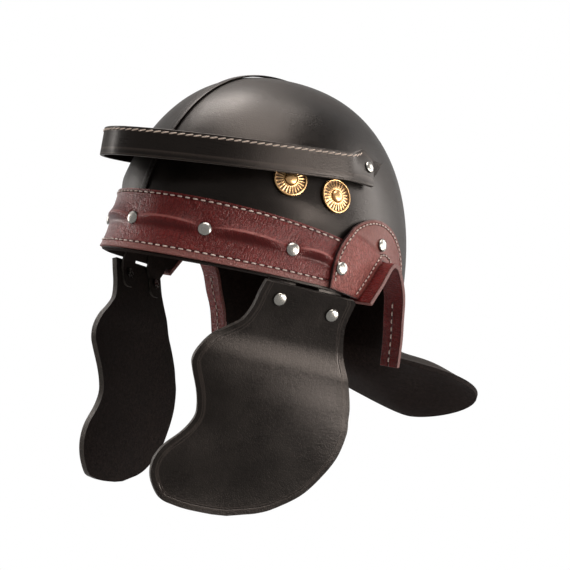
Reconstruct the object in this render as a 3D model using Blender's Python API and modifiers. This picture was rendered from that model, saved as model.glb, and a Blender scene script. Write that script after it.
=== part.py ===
# Centurion helmet in leather, worn level. The front is -Y, the wearer's left is +X and up is +Z.
# The origin is in the middle of the head opening, at the height of the ears.
import math

import bmesh
import bpy
from mathutils import Matrix, Vector

# Fits
fit_gap = 0.0004
shank_gap = 0.0003
burr_gap = 0.0006
hole_overrun = 0.004
normal_step = 0.0005
cutter_overrun = 0.03
weld_distance = 0.00005
least_share = 0.001
sharp_angle = math.radians(38)
curve_steps = 12

# Bowl: half an egg over a wall that drops at the back
bowl_half_width = 0.0932
bowl_half_length = 0.1177
bowl_height = 0.1451
bowl_power = 2.34
bowl_wall = 0.0035
bowl_seam_gap = 0.0008
skirt_depth = 0.0285
wall_flat = 0.0036
wall_flat_top = 0.058
wall_flat_run = 0.016
rim_flare = 0.0085
rim_flare_height = 0.025
rim_show = 0.0015
lower_row_height = 0.08
bowl_columns = 36
bowl_lower_rows = 8
bowl_lower_rows_power = 1.4
bowl_upper_rows = 7
rim_end_angle = math.radians(89)
skirt_start_angle = math.radians(91)

# Crown seam strip
strip_width = 0.006
strip_wall = 0.001
strip_rows = 26

# Brow band with its embossed rib
band_wall = 0.0018
band_bottom_front = 0.0088
band_bottom_drop = 0.0032
band_top_front = 0.0472
band_top_drop = 0.0092
band_drop_angle = math.radians(80)
band_end_angle = math.radians(84)
rib_height = 0.0024
rib_half_width = 0.0075
band_row_shares = (0, 0.15, 0.32, 0.42, 0.5, 0.58, 0.68, 1)
band_rivet_angles = (0, math.radians(31), math.radians(62.3))
rib_rivet_gap_angle = math.radians(3.4)
rib_end_angle = math.radians(77.5)
band_columns_per_bay = 5

# Rivets
rivet_cap_radius = 0.0048
rivet_cap_height = 0.002
rivet_shank_radius = 0.0015
rivet_burr_radius = 0.0035
rivet_burr_height = 0.0008
rivet_steps = 10
rivet_cap_steps = 4
small_rivet_cap_radius = 0.0037
small_rivet_cap_height = 0.0016

# Ear opening, as a curve in the side view through shares of its length and height
ear_front_y = -0.0012
ear_front_z = -0.0003
ear_length = 0.058
ear_height = 0.0285
ear_drop = 0.0385
ear_arch_shares = ((0, 0), (0.17, 0.49), (0.31, 0.9), (0.41, 1), (0.53, 0.86), (0.73, 0.36))
ear_leg_shares = ((0.84, 0.17), (0.93, 0.52), (1, 1))
ear_arch_rows = 22

# Ear flange
flange_wall = 0.003
flange_stand_front = 0.0155
flange_stand_back = 0.0122
flange_columns = 3

# Ear piece, a half disc over the end of the brow band
ear_piece_wall = 0.0025
ear_piece_radius = 0.041
ear_piece_y = 0.014
ear_piece_z = 0.015
ear_piece_bottom_front = 0.0055
ear_piece_bottom = 0.0019
ear_piece_bottom_run = 0.0247
ear_piece_step = 0.006
ear_piece_step_angle = math.radians(4)
ear_piece_ease = 0.0015
ear_piece_ease_angle = math.radians(1.5)
ear_piece_columns = 20
ear_piece_rows = 9
ear_front_rivet_angle = math.radians(79.8)
ear_front_rivet_z = 0.0189
ear_back_rivet_angle = math.radians(98.9)
ear_back_rivet_z = 0.0402

# Brow guard
guard_side_reach = 0.0076
guard_front_reach = 0.0392
guard_centre_y = 0.0024
guard_power = 1.1
guard_top_front = 0.0826
guard_height = 0.0183
guard_side_rise = 0.0152
guard_wall = 0.0028
guard_end_angle = math.radians(80)
guard_columns = 12
guard_turn_columns = 3
guard_rows = 3
ledge_wall = 0.002
ledge_seat = 0.0017
tab_start_y = -0.001
tab_end_y = 0.0072
tab_top_start = 0.0995
tab_top_end = 0.0925
tab_bottom = 0.0757
tab_bottom_end_y = 0.0042
flap_tip_y = 0.0225
flap_tip_z = 0.095
flap_tip_half_height = 0.001
flap_gap = 0.0005
flap_top = 0.0965
flap_bottom = 0.0768
guard_rivet_y = 0.0009
guard_rivet_z = 0.0875

# Rosettes
rosette_gap = 0.0005
rosette_radius = 0.0113
rosette_rim_radius = 0.0006
rosette_height = 0.0015
rosette_wall = 0.001
rosette_well_radius = 0.0047
rosette_floor_share = 0.6
rosette_shoulder_share = 0.35
rosette_shoulder_height_share = 0.75
rosette_flutes = 24
rosette_flute_depth = 0.0006
rosette_seat_radius = 0.11
rosette_places = ((math.radians(57.6), 0.0687), (math.radians(76.2), 0.0646))
knob_radius = 0.0034
knob_height = 0.0018

# Neck guard
neck_wall = 0.0035
neck_collar = 0.0125
neck_start_angle = math.radians(121)
neck_side_x = 0.0904
neck_side_y = 0.061
neck_side_z = -0.035
neck_sweep_x = 0.0436
neck_sweep_y = 0.1295
neck_sweep_z = -0.0072
neck_back_half_run = 0.031
neck_back_y = 0.1996
neck_back_z = -0.0783
neck_bend_out_share = 0.3
neck_bend_down_share = 0.75
neck_columns = 14
neck_rows = 8

# Cheek guards, drawn along their hinge line and down from it
cheek_height = 0.1534
cheek_wall = 0.0035
cheek_lean = 0.0285
cheek_dome = 0.0025
cheek_dome_start_share = 0.22
cheek_dome_end_share = 0.34
cheek_dome_fade_share = 0.33
cheek_toe = math.radians(20.4)
cheek_slope = math.radians(2.6)
cheek_face_from_hinge = 0.0059
cheek_top_below_hinge = 0.0022
cheek_rows = 26
cheek_columns = 6
cheek_front_shares = (
    (-0.216, 0), (-0.224, 0.05), (-0.231, 0.115), (-0.255, 0.177), (-0.3, 0.215), (-0.366, 0.263),
    (-0.405, 0.32), (-0.42, 0.374), (-0.405, 0.42), (-0.362, 0.502), (-0.34, 0.562), (-0.337, 0.611),
    (-0.37, 0.674), (-0.435, 0.748), (-0.462, 0.809), (-0.461, 0.865), (-0.437, 0.917), (-0.39, 0.967),
    (-0.328, 0.985), (-0.258, 0.995), (-0.15, 1),
)
cheek_back_shares = (
    (0.204, 0), (0.213, 0.012), (0.208, 0.099), (0.217, 0.15), (0.236, 0.205), (0.261, 0.263),
    (0.308, 0.344), (0.351, 0.441), (0.366, 0.503), (0.378, 0.565), (0.365, 0.666), (0.318, 0.763),
    (0.244, 0.86), (0.135, 0.934), (0.06, 0.966), (-0.014, 0.983), (-0.08, 0.997),
)

# Hinge straps
strap_wall = 0.0016
strap_width = 0.016
strap_top_reach = 0.008
strap_bottom_reach = 0.008
strap_bend_gap = 0.001
strap_bend_run = 0.0015
strap_run_out = 0.006
hinge_y = -0.036
hinge_z = 0.0036
front_strap_along = -0.0201
back_strap_along = 0.0191
front_strap_rivet_drop = 0.0095
back_strap_rivet_drop = 0.0119
strap_columns = 3
strap_upper_rows = 5
strap_lower_rows = 3

colours = {
    "black_leather": ((0.018, 0.016, 0.015), 0.42, 0),
    "black_suede": ((0.03, 0.022, 0.018), 0.8, 0),
    "oxblood_leather": ((0.13, 0.022, 0.02), 0.45, 0),
    "nickel": ((0.62, 0.6, 0.56), 0.28, 1),
    "brass": ((0.6, 0.4, 0.16), 0.32, 1),
}


def clear_scene():
    for thing in list(bpy.data.objects):
        bpy.data.objects.remove(thing, do_unlink=True)


def new_collection(name):
    group = bpy.data.collections.new(name)
    bpy.context.scene.collection.children.link(group)
    return group


def material(name):
    kept = bpy.data.materials.get(name)
    if kept:
        return kept
    colour, roughness, metallic = colours[name]
    made = bpy.data.materials.new(name)
    made.use_nodes = True
    shader = made.node_tree.nodes["Principled BSDF"]
    shader.inputs["Base Color"].default_value = (*colour, 1)
    shader.inputs["Roughness"].default_value = roughness
    shader.inputs["Metallic"].default_value = metallic
    made.diffuse_color = (*colour, 1)
    return made


# Curves and blends
def mix(low, high, share):
    return low + (high - low) * share


def smooth(share):
    share = min(max(share, 0), 1)
    return share * share * (3 - 2 * share)


def spread(low, high, count):
    return [mix(low, high, step / count) for step in range(count + 1)]


def catmull(points, count):
    """Evenly spaced points on a smooth curve through the given ones."""
    ends = [points[0] * 2 - points[1]] + points + [points[-1] * 2 - points[-2]]
    fine = []
    for a, b, c, d in zip(ends, ends[1:], ends[2:], ends[3:]):
        for step in range(curve_steps):
            t = step / curve_steps
            fine.append((b * 2 + (c - a) * t + (a * 2 - b * 5 + c * 4 - d) * t * t
                         + (b * 3 - a - c * 3 + d) * t * t * t) / 2)
    fine.append(points[-1])
    return resample(fine, count)


def resample(line, count):
    runs = [0]
    for a, b in zip(line, line[1:]):
        runs.append(runs[-1] + (b - a).length)
    places = []
    at = 0
    for step in range(count + 1):
        wanted = runs[-1] * step / count
        while at < len(line) - 2 and runs[at + 1] < wanted:
            at += 1
        span = runs[at + 1] - runs[at]
        places.append(line[at].lerp(line[at + 1], (wanted - runs[at]) / span))
    return places


# The bowl's outer skin. An angle of 0 is the front, 90 degrees is the wearer's left.
# Its lower wall is flattened between the front and the ears, and its front rim flares.
def bowl_share(z):
    if z <= 0:
        return 1
    return max(1 - (z / bowl_height) ** bowl_power, 0) ** (1 / bowl_power)


def skin(angle, z, off=0):
    """A point on the bowl, or off it along its normal."""
    share = bowl_share(z)
    x = bowl_half_width * share * math.sin(angle)
    y = -bowl_half_length * share * math.cos(angle)
    across = Vector((math.sin(angle) / bowl_half_width, -math.cos(angle) / bowl_half_length, 0)).normalized()
    flat = wall_flat * math.sin(2 * angle) ** 2 * smooth((wall_flat_top - z) / wall_flat_run)
    flare = rim_flare * max(1 - max(z, 0) / rim_flare_height, 0) ** 2
    if math.cos(angle) < 0:
        flat = 0
        flare = 0
    flare *= math.cos(angle) ** 2
    return Vector((x, y, z)) + across * (flare - flat) + egg_normal(angle, z) * off


def egg_normal(angle, z):
    share = max(bowl_share(z), least_share)
    steep = share ** (bowl_power - 1)
    rise = (max(z, 0) / bowl_height) ** (bowl_power - 1) / bowl_height
    return Vector((steep * math.sin(angle) / bowl_half_width,
                   -steep * math.cos(angle) / bowl_half_length, rise)).normalized()


def skin_normal(angle, z):
    """The normal of the skin with its flared rim."""
    turn = normal_step / bowl_half_length
    around = skin(angle + turn, z) - skin(angle - turn, z)
    rise = skin(angle, z + normal_step) - skin(angle, z - normal_step)
    return around.cross(rise).normalized()


def side_angle(y, z):
    """The angle at which the bowl's left wall has this y."""
    return math.acos(min(max(-y / (bowl_half_length * bowl_share(z)), -1), 1))


def side_skin(y, z, off=0):
    return skin(side_angle(y, z), z, off)


def band_bottom(angle):
    return band_bottom_front - band_bottom_drop * (angle / band_drop_angle) ** 2


def band_top(angle):
    return band_top_front - band_top_drop * (abs(angle) / band_drop_angle) ** 3


def band_middle(angle):
    return (band_bottom(angle) + band_top(angle)) / 2


# Mesh helpers
def add_object(name, mesh, group, colour=None, origin=None):
    thing = bpy.data.objects.new(name, mesh)
    if origin:
        mesh.transform(Matrix.Translation(-origin))
        thing.location = origin
    if colour:
        mesh.materials.append(material(colour))
    group.objects.link(thing)
    return thing


def sheet(name, rows, group, colour, wall, grow, side=1, away_from=None, origin=None, half=False):
    """A leather sheet with its face through rows of points and its wall grown from there."""
    shape = bmesh.new()
    grid = [[shape.verts.new((point.x * side, point.y, point.z)) for point in row] for row in rows]
    for low, high in zip(grid, grid[1:]):
        for a, b, c, d in zip(low, low[1:], high[1:], high):
            shape.faces.new((a, b, c, d))
    bmesh.ops.remove_doubles(shape, verts=shape.verts, dist=weld_distance)
    bmesh.ops.recalc_face_normals(shape, faces=shape.faces)
    shape.normal_update()
    centre = away_from or Vector((0, 0, 0))
    centre = Vector((centre.x * side, centre.y, centre.z))
    facing = sum(face.normal.dot(face.calc_center_median() - centre) * face.calc_area() for face in shape.faces)
    if facing < 0:
        bmesh.ops.reverse_faces(shape, faces=shape.faces)
    mesh = bpy.data.meshes.new(name)
    shape.to_mesh(mesh)
    shape.free()
    mesh.shade_smooth()
    if origin:
        origin = Vector((origin.x * side, origin.y, origin.z))
    thing = add_object(name, mesh, group, colour, origin)
    if half:
        halves = thing.modifiers.new("Mirror", "MIRROR")
        halves.merge_threshold = weld_distance
    shell = thing.modifiers.new("Solidify", "SOLIDIFY")
    shell.thickness = wall
    shell.offset = grow
    shell.use_even_offset = grow != 0
    return thing


def cut(thing, cutter):
    tool = thing.modifiers.new("Cut", "BOOLEAN")
    tool.operation = "DIFFERENCE"
    tool.solver = "EXACT"
    tool.object = cutter


def turned(name, profile, steps):
    """A turned mesh. The profile starts and ends on the axis and runs down its outer side."""
    mesh = bpy.data.meshes.new(name)
    mesh.from_pydata([(r, 0, z) for r, z in profile], [(i, i + 1) for i in range(len(profile) - 1)], [])
    thing = bpy.data.objects.new(name, mesh)
    bpy.context.scene.collection.objects.link(thing)
    spin = thing.modifiers.new("Screw", "SCREW")
    spin.steps = steps
    spin.render_steps = steps
    spin.use_merge_vertices = True
    spin.merge_threshold = weld_distance
    made = bpy.data.meshes.new_from_object(thing.evaluated_get(bpy.context.evaluated_depsgraph_get()))
    bpy.data.objects.remove(thing, do_unlink=True)
    made.name = name
    made.shade_smooth()
    made.set_sharp_from_angle(angle=sharp_angle)
    return made


def stand(thing, place, normal):
    thing.location = place
    thing.rotation_mode = "QUATERNION"
    thing.rotation_quaternion = normal.to_track_quat("Z", "Y")


def rivet_mesh(name, cap_radius, cap_height, grip):
    """A domed cap at height 0, a shank through the grip and a flat burr under it."""
    profile = [(cap_radius * math.sin(turn), cap_height * math.cos(turn))
               for turn in spread(0, math.pi / 2, rivet_cap_steps)]
    profile += [(rivet_shank_radius, 0), (rivet_shank_radius, -grip), (rivet_burr_radius, -grip),
                (rivet_burr_radius, -grip - rivet_burr_height), (0, -grip - rivet_burr_height)]
    return turned(name, profile, rivet_steps)


class Riveter:
    """Sets rivets and keeps the holes that their shanks need."""

    def __init__(self, group, cutters):
        self.group = group
        self.cutters = cutters
        self.holes = []

    def set(self, name, place, normal, grip, side, cap_radius=rivet_cap_radius,
            cap_height=rivet_cap_height, colour="nickel", parent=None):
        place = Vector((place.x * side, place.y, place.z))
        normal = Vector((normal.x * side, normal.y, normal.z))
        thing = add_object(name, rivet_mesh(name, cap_radius, cap_height, grip), self.group, colour)
        stand(thing, place, normal)
        self.holes.append((place, normal, grip))
        if parent:
            bpy.context.view_layer.update()
            thing.parent = parent
            thing.matrix_parent_inverse = parent.matrix_world.inverted()
        return thing

    def hole_cutter(self, name):
        shape = bmesh.new()
        for place, normal, grip in self.holes:
            middle = place - normal * (grip / 2)
            turn = normal.to_track_quat("Z", "Y").to_matrix().to_4x4()
            bmesh.ops.create_cone(shape, cap_ends=True, segments=rivet_steps, radius1=rivet_shank_radius + shank_gap,
                                  radius2=rivet_shank_radius + shank_gap, depth=grip + hole_overrun,
                                  matrix=Matrix.Translation(middle) @ turn)
        self.holes = []
        return cutter_object(name, shape, self.cutters)


def cutter_object(name, shape, cutters):
    mesh = bpy.data.meshes.new(name)
    shape.to_mesh(mesh)
    shape.free()
    thing = add_object(name, mesh, cutters)
    thing.hide_render = True
    thing.display_type = "WIRE"
    return thing


# Bowl
def bowl_bottom(angle):
    if angle <= rim_end_angle:
        return band_bottom(angle) - rim_show
    return -skirt_depth


def bowl_angles():
    front = spread(0, rim_end_angle, bowl_columns // 2)
    return front + spread(skirt_start_angle, math.pi, bowl_columns // 2)


def bowl_half(name, side, group):
    rows = []
    for step in range(bowl_lower_rows):
        share = (step / bowl_lower_rows) ** bowl_lower_rows_power
        rows.append([skin(angle, mix(bowl_bottom(angle), lower_row_height, share)) for angle in bowl_angles()])
    lowest = math.asin((lower_row_height / bowl_height) ** (bowl_power / 2))
    for lift in spread(lowest, math.pi / 2, bowl_upper_rows):
        z = bowl_height * math.sin(lift) ** (2 / bowl_power)
        rows.append([skin(angle, z) for angle in bowl_angles()])
    for row in rows:
        for point in row:
            point.x = max(point.x, bowl_seam_gap / 2)
    return sheet(name, rows, group, "black_leather", bowl_wall, -1, side)


def crown_strip(group):
    rows = []
    lowest = math.asin((band_top_front / bowl_height) ** (bowl_power / 2))
    places = [(0, lift) for lift in spread(lowest, math.pi / 2, strip_rows // 2)]
    places += [(math.pi, lift) for lift in reversed(spread(0, math.pi / 2, strip_rows // 2)[:-1])]
    for angle, lift in places:
        z = bowl_height * math.sin(lift) ** (2 / bowl_power) + (fit_gap if lift == lowest else 0)
        rows.append(strip_row(angle, z))
    rows.append(strip_row(math.pi, neck_collar - skirt_depth + fit_gap))
    return sheet("crown_seam_strip", rows, group, "black_leather", strip_wall, 1)


def strip_row(angle, z):
    point = skin(angle, z, fit_gap)
    point.x = 0
    reach = Vector((strip_width / 2, 0, 0))
    return [point - reach, point + reach]


# Brow band
def rib(angle, z):
    """The embossed rib swells between the rivets and vanishes at them."""
    marks = list(band_rivet_angles) + [rib_end_angle + rib_rivet_gap_angle]
    for start, end in zip(marks, marks[1:]):
        low = start + rib_rivet_gap_angle
        high = end - rib_rivet_gap_angle
        if low <= angle <= high:
            swell = math.sin(math.pi * (angle - low) / (high - low))
            away = abs(z - band_middle(angle)) / rib_half_width
            return rib_height * swell * smooth(1 - away)
    return 0


def brow_band(group):
    angles = [0]
    marks = list(band_rivet_angles) + [rib_end_angle + rib_rivet_gap_angle]
    for start, end in zip(marks, marks[1:]):
        angles += spread(start + rib_rivet_gap_angle, end - rib_rivet_gap_angle, band_columns_per_bay)
        if end in band_rivet_angles:
            angles.append(end)
    angles.append(band_end_angle)
    rows = []
    for share in band_row_shares:
        row = []
        for angle in angles:
            z = mix(band_bottom(angle), band_top(angle), share)
            row.append(skin(angle, z, fit_gap + band_wall + rib(angle, z)))
        rows.append(row)
    return sheet("brow_band", rows, group, "oxblood_leather", band_wall, -1, half=True)


# Ear opening, flange and ear piece
def ear_line():
    points = [Vector((ear_front_y + ear_length * along, ear_front_z + ear_height * up, 0))
              for along, up in ear_arch_shares]
    points += [Vector((ear_front_y + ear_length * along, -ear_drop * down, 0))
               for along, down in ear_leg_shares]
    return catmull(points, ear_arch_rows)


def line_normals(line):
    """Unit normals that point out of the arch."""
    normals = []
    for before, after in zip([line[0]] + line[:-1], line[1:] + [line[-1]]):
        run = (after - before).normalized()
        normals.append(Vector((-run.y, run.x, 0)))
    return normals


def ear_cutter(cutters):
    """A prism through both walls, one gap wider than the flange that stands in the opening."""
    line = ear_line()
    out = flange_wall / 2 + fit_gap
    edge = [point + normal * out for point, normal in zip(line, line_normals(line))]
    below = -skirt_depth - cutter_overrun
    outline = edge + [Vector((edge[-1].x, below, 0)), Vector((edge[0].x, below, 0))]
    reach = bowl_half_width + cutter_overrun
    shape = bmesh.new()
    face = shape.faces.new([shape.verts.new((-reach, point.x, point.y)) for point in outline])
    moved = bmesh.ops.extrude_face_region(shape, geom=[face])["geom"]
    bmesh.ops.translate(shape, vec=(2 * reach, 0, 0),
                        verts=[part for part in moved if isinstance(part, bmesh.types.BMVert)])
    bmesh.ops.recalc_face_normals(shape, faces=shape.faces)
    return cutter_object("ear_opening_cutter", shape, cutters)


def ear_flange(name, side, group):
    rows = []
    line = ear_line()
    for step, point in enumerate(line):
        y, z = point.x, point.y
        wall = side_skin(y, z)
        stand_out = mix(flange_stand_front, flange_stand_back, step / ear_arch_rows)
        inner = side_skin(y, z, -bowl_wall).x
        outer = wall.x + stand_out
        rows.append([Vector((x, y, z)) for x in spread(inner, outer, flange_columns)])
    return sheet(name, rows, group, "oxblood_leather", flange_wall, 0, side,
                 Vector((0, ear_front_y + ear_length / 2, -ear_drop)))


def ear_piece_off(angle, z):
    """The ear piece rides over the brow band and drops to the bowl past its end and its top."""
    past_end = smooth((angle - band_end_angle - ear_piece_ease_angle) / ear_piece_step_angle)
    past_top = smooth((z - band_top(angle) - ear_piece_ease) / ear_piece_step)
    lift = (band_wall + fit_gap) * (1 - past_end) * (1 - past_top)
    return fit_gap + lift


def ear_piece(name, side, group):
    front = ear_piece_y - ear_piece_radius
    columns = []
    for turn in spread(0, math.pi, ear_piece_columns):
        y = ear_piece_y - ear_piece_radius * math.cos(turn)
        top = ear_piece_z + ear_piece_radius * math.sin(turn)
        run = min((y - front) / ear_piece_bottom_run, 1)
        bottom = mix(ear_piece_bottom_front, ear_piece_bottom, run)
        column = []
        for z in spread(bottom, top, ear_piece_rows):
            angle = side_angle(y, z)
            column.append(skin(angle, z, ear_piece_off(angle, z)))
        columns.append(column)
    return sheet(name, columns, group, "oxblood_leather", ear_piece_wall, 1, side)


# Brow guard
def guard_plan(turn, inset, z):
    """A point on the guard's plan curve, turned from the front."""
    bowl_here = bowl_share(guard_top_front)
    half_width = bowl_half_width * bowl_here + guard_side_reach
    depth = bowl_half_length * bowl_here + guard_front_reach + guard_centre_y
    x = (half_width - inset) * math.sin(turn) ** guard_power
    y = guard_centre_y - (depth - inset) * math.cos(turn) ** guard_power
    return Vector((x, y, z))


def guard_rise(turn):
    return guard_side_rise * (1 - math.cos(turn))


def tab_off():
    return flap_gap + ledge_wall + fit_gap


def guard_column(turn):
    """The guard's inner face at one turn, from bottom to top."""
    top = guard_top_front + guard_rise(turn)
    return [guard_plan(turn, guard_wall, z) for z in spread(top - guard_height, top, guard_rows)]


def tab_column(top_y, top_z, low_y):
    """The inner face of the tab on the bowl, from bottom to top."""
    return [side_skin(mix(low_y, top_y, share), mix(tab_bottom, top_z, share), tab_off())
            for share in spread(0, 1, guard_rows)]


def turned_in(share):
    """A column on the stretch where the guard turns in to lie on the bowl."""
    last = guard_column(guard_end_angle)
    tab = tab_column(tab_start_y, tab_top_start, tab_start_y)
    return [a.lerp(b, share) for a, b in zip(last, tab)]


def guard_band(group):
    columns = [guard_column(turn) for turn in spread(0, guard_end_angle, guard_columns)]
    columns += [turned_in(share) for share in spread(0, 1, guard_turn_columns)[1:]]
    columns.append(tab_column(tab_end_y, tab_top_end, tab_bottom_end_y))
    return sheet("brow_guard_band", columns, group, "black_leather", guard_wall, 1, half=True,
                 away_from=Vector((0, 0, guard_top_front)))


def guard_ledge(group):
    """A shelf from the guard's top to the bowl. Its ends fold down under the tabs."""
    columns = []
    for turn in spread(0, guard_end_angle, guard_columns):
        z = guard_top_front + guard_rise(turn) - fit_gap
        outer = guard_plan(turn, guard_wall + fit_gap, z)
        seat = side_skin_towards(outer, z - ledge_wall, ledge_seat)
        seat.z = z
        columns.append([seat.lerp(outer, share) for share in spread(0, 1, guard_rows)])
    low = flap_gap + ledge_wall
    last_seat = columns[-1][0]
    flap = [side_skin(tab_start_y, mix(flap_top, flap_bottom, share), low) for share in spread(0, 1, guard_rows)]
    for share in spread(0, 1, guard_turn_columns)[1:-1]:
        band = turned_in(share)
        height_share = 1 - smooth(share)
        at = height_share * guard_rows
        step = min(int(at), guard_rows - 1)
        outer = band[step].lerp(band[step + 1], at - step)
        outer -= Vector((2 * fit_gap, 0, 0))
        seat = last_seat.lerp(flap[0], share)
        columns.append([seat.lerp(outer, part) for part in spread(0, 1, guard_rows)])
    columns.append(flap)
    for y, top, bottom in ((tab_end_y, flap_top, flap_bottom),
                           (flap_tip_y, flap_tip_z + flap_tip_half_height, flap_tip_z - flap_tip_half_height)):
        columns.append([side_skin(y, mix(top, bottom, share), low) for share in spread(0, 1, guard_rows)])
    return sheet("brow_guard_ledge", columns, group, "black_suede", ledge_wall, -1, half=True,
                 away_from=Vector((0, 0, -bowl_height)))


def side_skin_towards(point, z, off):
    """The place on the skin that faces a point in plan."""
    angle = math.atan2(point.x / bowl_half_width, -point.y / bowl_half_length)
    return skin(angle, z, off)


# Rosettes
def rosette_mesh(name):
    """A fluted brass dish with a wire rim. Its back follows the bowl."""
    shoulder = mix(rosette_well_radius, rosette_radius, rosette_shoulder_share)
    rings = ((rosette_well_radius * rosette_floor_share, rosette_wall, 0), (rosette_well_radius, rosette_wall, 0),
             (shoulder, rosette_height * rosette_shoulder_height_share, 1),
             (rosette_radius - 2 * rosette_rim_radius, rosette_height, 1),
             (rosette_radius - rosette_rim_radius, rosette_height + rosette_rim_radius, 0),
             (rosette_radius, rosette_height, 0))
    count = rosette_flutes * 2
    hole = rivet_shank_radius + shank_gap
    shape = bmesh.new()
    loops = [ring_of(shape, hole, count, back_height(hole) + rosette_wall, 0)]
    for radius, height, fluted in rings:
        loops.append(ring_of(shape, radius, count, height + back_height(radius), fluted))
    for radius in (rosette_radius, hole):
        loops.append(ring_of(shape, radius, count, back_height(radius), 0))
    loops.append(loops[0])
    for low, high in zip(loops, loops[1:]):
        for step in range(count):
            after = (step + 1) % count
            shape.faces.new((low[step], high[step], high[after], low[after]))
    bmesh.ops.recalc_face_normals(shape, faces=shape.faces)
    mesh = bpy.data.meshes.new(name)
    shape.to_mesh(mesh)
    shape.free()
    mesh.shade_smooth()
    mesh.set_sharp_from_angle(angle=sharp_angle)
    return mesh


def back_height(radius):
    return -radius * radius / (2 * rosette_seat_radius)


def ring_of(shape, radius, count, height, fluted):
    ring = []
    for step in range(count):
        turn = 2 * math.pi * step / count
        z = height - fluted * rosette_flute_depth * (step % 2)
        ring.append(shape.verts.new((radius * math.cos(turn), radius * math.sin(turn), z)))
    return ring


# Neck guard
def neck_edge(share):
    side = Vector((neck_side_x, neck_side_y, neck_side_z))
    sweep = side + Vector((neck_sweep_x, neck_sweep_y, neck_sweep_z))
    back = Vector((0, neck_back_y, neck_back_z))
    turn_in = back + Vector((neck_back_half_run, 0, 0))
    rest = 1 - share
    return side * rest ** 3 + sweep * 3 * share * rest ** 2 + turn_in * 3 * share ** 2 * rest + back * share ** 3


def neck_guard(group):
    columns = []
    for step in range(neck_columns + 1):
        share = step / neck_columns
        angle = mix(neck_start_angle, math.pi, share)
        top = skin(angle, -skirt_depth, fit_gap)
        collar = skin(angle, neck_collar - skirt_depth, fit_gap)
        edge = neck_edge(share)
        bend = Vector((mix(top.x, edge.x, neck_bend_out_share), mix(top.y, edge.y, neck_bend_out_share),
                       mix(top.z, edge.z, neck_bend_down_share)))
        column = [collar]
        for down in spread(0, 1, neck_rows):
            column.append(top * (1 - down) ** 2 + bend * 2 * down * (1 - down) + edge * down * down)
        columns.append(column)
    return sheet("neck_guard", columns, group, "black_leather", neck_wall, 1, half=True,
                 away_from=Vector((0, 0, -bowl_height)))


# Cheek guards, in a frame on their hinge: along it, down from it and out from it
class HingeFrame:
    def __init__(self):
        angle = side_angle(hinge_y, hinge_z)
        self.origin = skin(angle, hinge_z, -bowl_wall - fit_gap - strap_wall / 2)
        level = Vector((math.sin(cheek_toe), math.cos(cheek_toe), 0))
        self.along = (level * math.cos(cheek_slope) + Vector((0, 0, -math.sin(cheek_slope)))).normalized()
        self.out = self.along.cross(Vector((0, 0, 1))).normalized()
        self.up = self.out.cross(self.along).normalized()
        if self.up.z < 0:
            self.up = -self.up

    def point(self, along, down, out):
        top = self.origin + self.out * cheek_face_from_hinge - self.up * cheek_top_below_hinge
        return top + self.along * along - self.up * down + self.out * out

    def line_z(self, along):
        """The height of the hinge line at a place along it."""
        return self.origin.z + self.along.z * along


def cheek_out(down):
    """The guard leans in under its hinge, and its lower body is pressed out below the crease."""
    share = down / cheek_height
    lean = -cheek_lean * (1 - (1 - share) ** 2)
    run = (share - cheek_dome_start_share) / (cheek_dome_end_share - cheek_dome_start_share)
    return lean + cheek_dome * smooth(run) * smooth((1 - share) / cheek_dome_fade_share)


def cheek_edge(shares):
    return catmull([Vector((along * cheek_height, down * cheek_height, 0)) for along, down in shares], cheek_rows)


def cheek_guard(name, side, group, frame):
    rows = []
    for front, back in zip(cheek_edge(cheek_front_shares), cheek_edge(cheek_back_shares)):
        row = []
        for share in spread(0, 1, cheek_columns):
            place = front.lerp(back, share)
            row.append(frame.point(place.x, place.y, cheek_out(place.y)))
        rows.append(row)
    return sheet(name, rows, group, "black_leather", cheek_wall, -1, side,
                 frame.origin - frame.out * cheek_height, frame.origin)


def strap_upper(name, side, group, frame, along, rivet_angle, rivet_z):
    """The leaf on the bowl's inside, from over its rivet down to the hinge line."""
    low = frame.point(along, 0, 0)
    low_angle = side_angle(low.y, low.z)
    half = strap_width / 2 / bowl_half_width
    bottom = frame.line_z(along) + strap_bend_gap / 2
    rows = []
    for share in spread(0, 1, strap_upper_rows):
        z = mix(rivet_z + strap_top_reach, bottom, share)
        angle = mix(rivet_angle, low_angle, share)
        row = [skin(turn, z, -bowl_wall - fit_gap) for turn in spread(angle - half, angle + half, strap_columns)]
        rows.append(row)
    return sheet(name, rows, group, "black_suede", strap_wall, -1, side)


def strap_lower(name, side, group, frame, along, drop):
    """The leaf on the guard's inside, from the hinge line down past its rivet."""
    low = frame.point(along, 0, 0)
    angle = side_angle(low.y, low.z)
    half = strap_width / 2 / bowl_half_width
    face = -cheek_wall - fit_gap
    places = spread(along - strap_width / 2, along + strap_width / 2, strap_columns)
    turns = spread(angle - half, angle + half, strap_columns)
    rows = []
    for drop_run in (strap_bend_gap / 2, strap_bend_gap / 2 + strap_bend_run):
        rows.append([skin(turn, frame.line_z(place) - drop_run, -bowl_wall - fit_gap)
                     for place, turn in zip(places, turns)])
    for down in spread(strap_run_out, drop + strap_bottom_reach, strap_lower_rows):
        rows.append([frame.point(place, down, cheek_out(down) + face) for place in places])
    return sheet(name, rows, group, "black_suede", strap_wall, -1, side,
                 frame.origin + frame.out * -cheek_height, frame.origin)


def cheek_rivet_place(frame, along, drop):
    place = frame.point(along, drop, cheek_out(drop))
    below = frame.point(along, drop + cheek_wall, cheek_out(drop + cheek_wall))
    normal = frame.along.cross(below - place).normalized()
    if normal.dot(frame.out) < 0:
        normal = -normal
    return place + normal * fit_gap, normal


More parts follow.
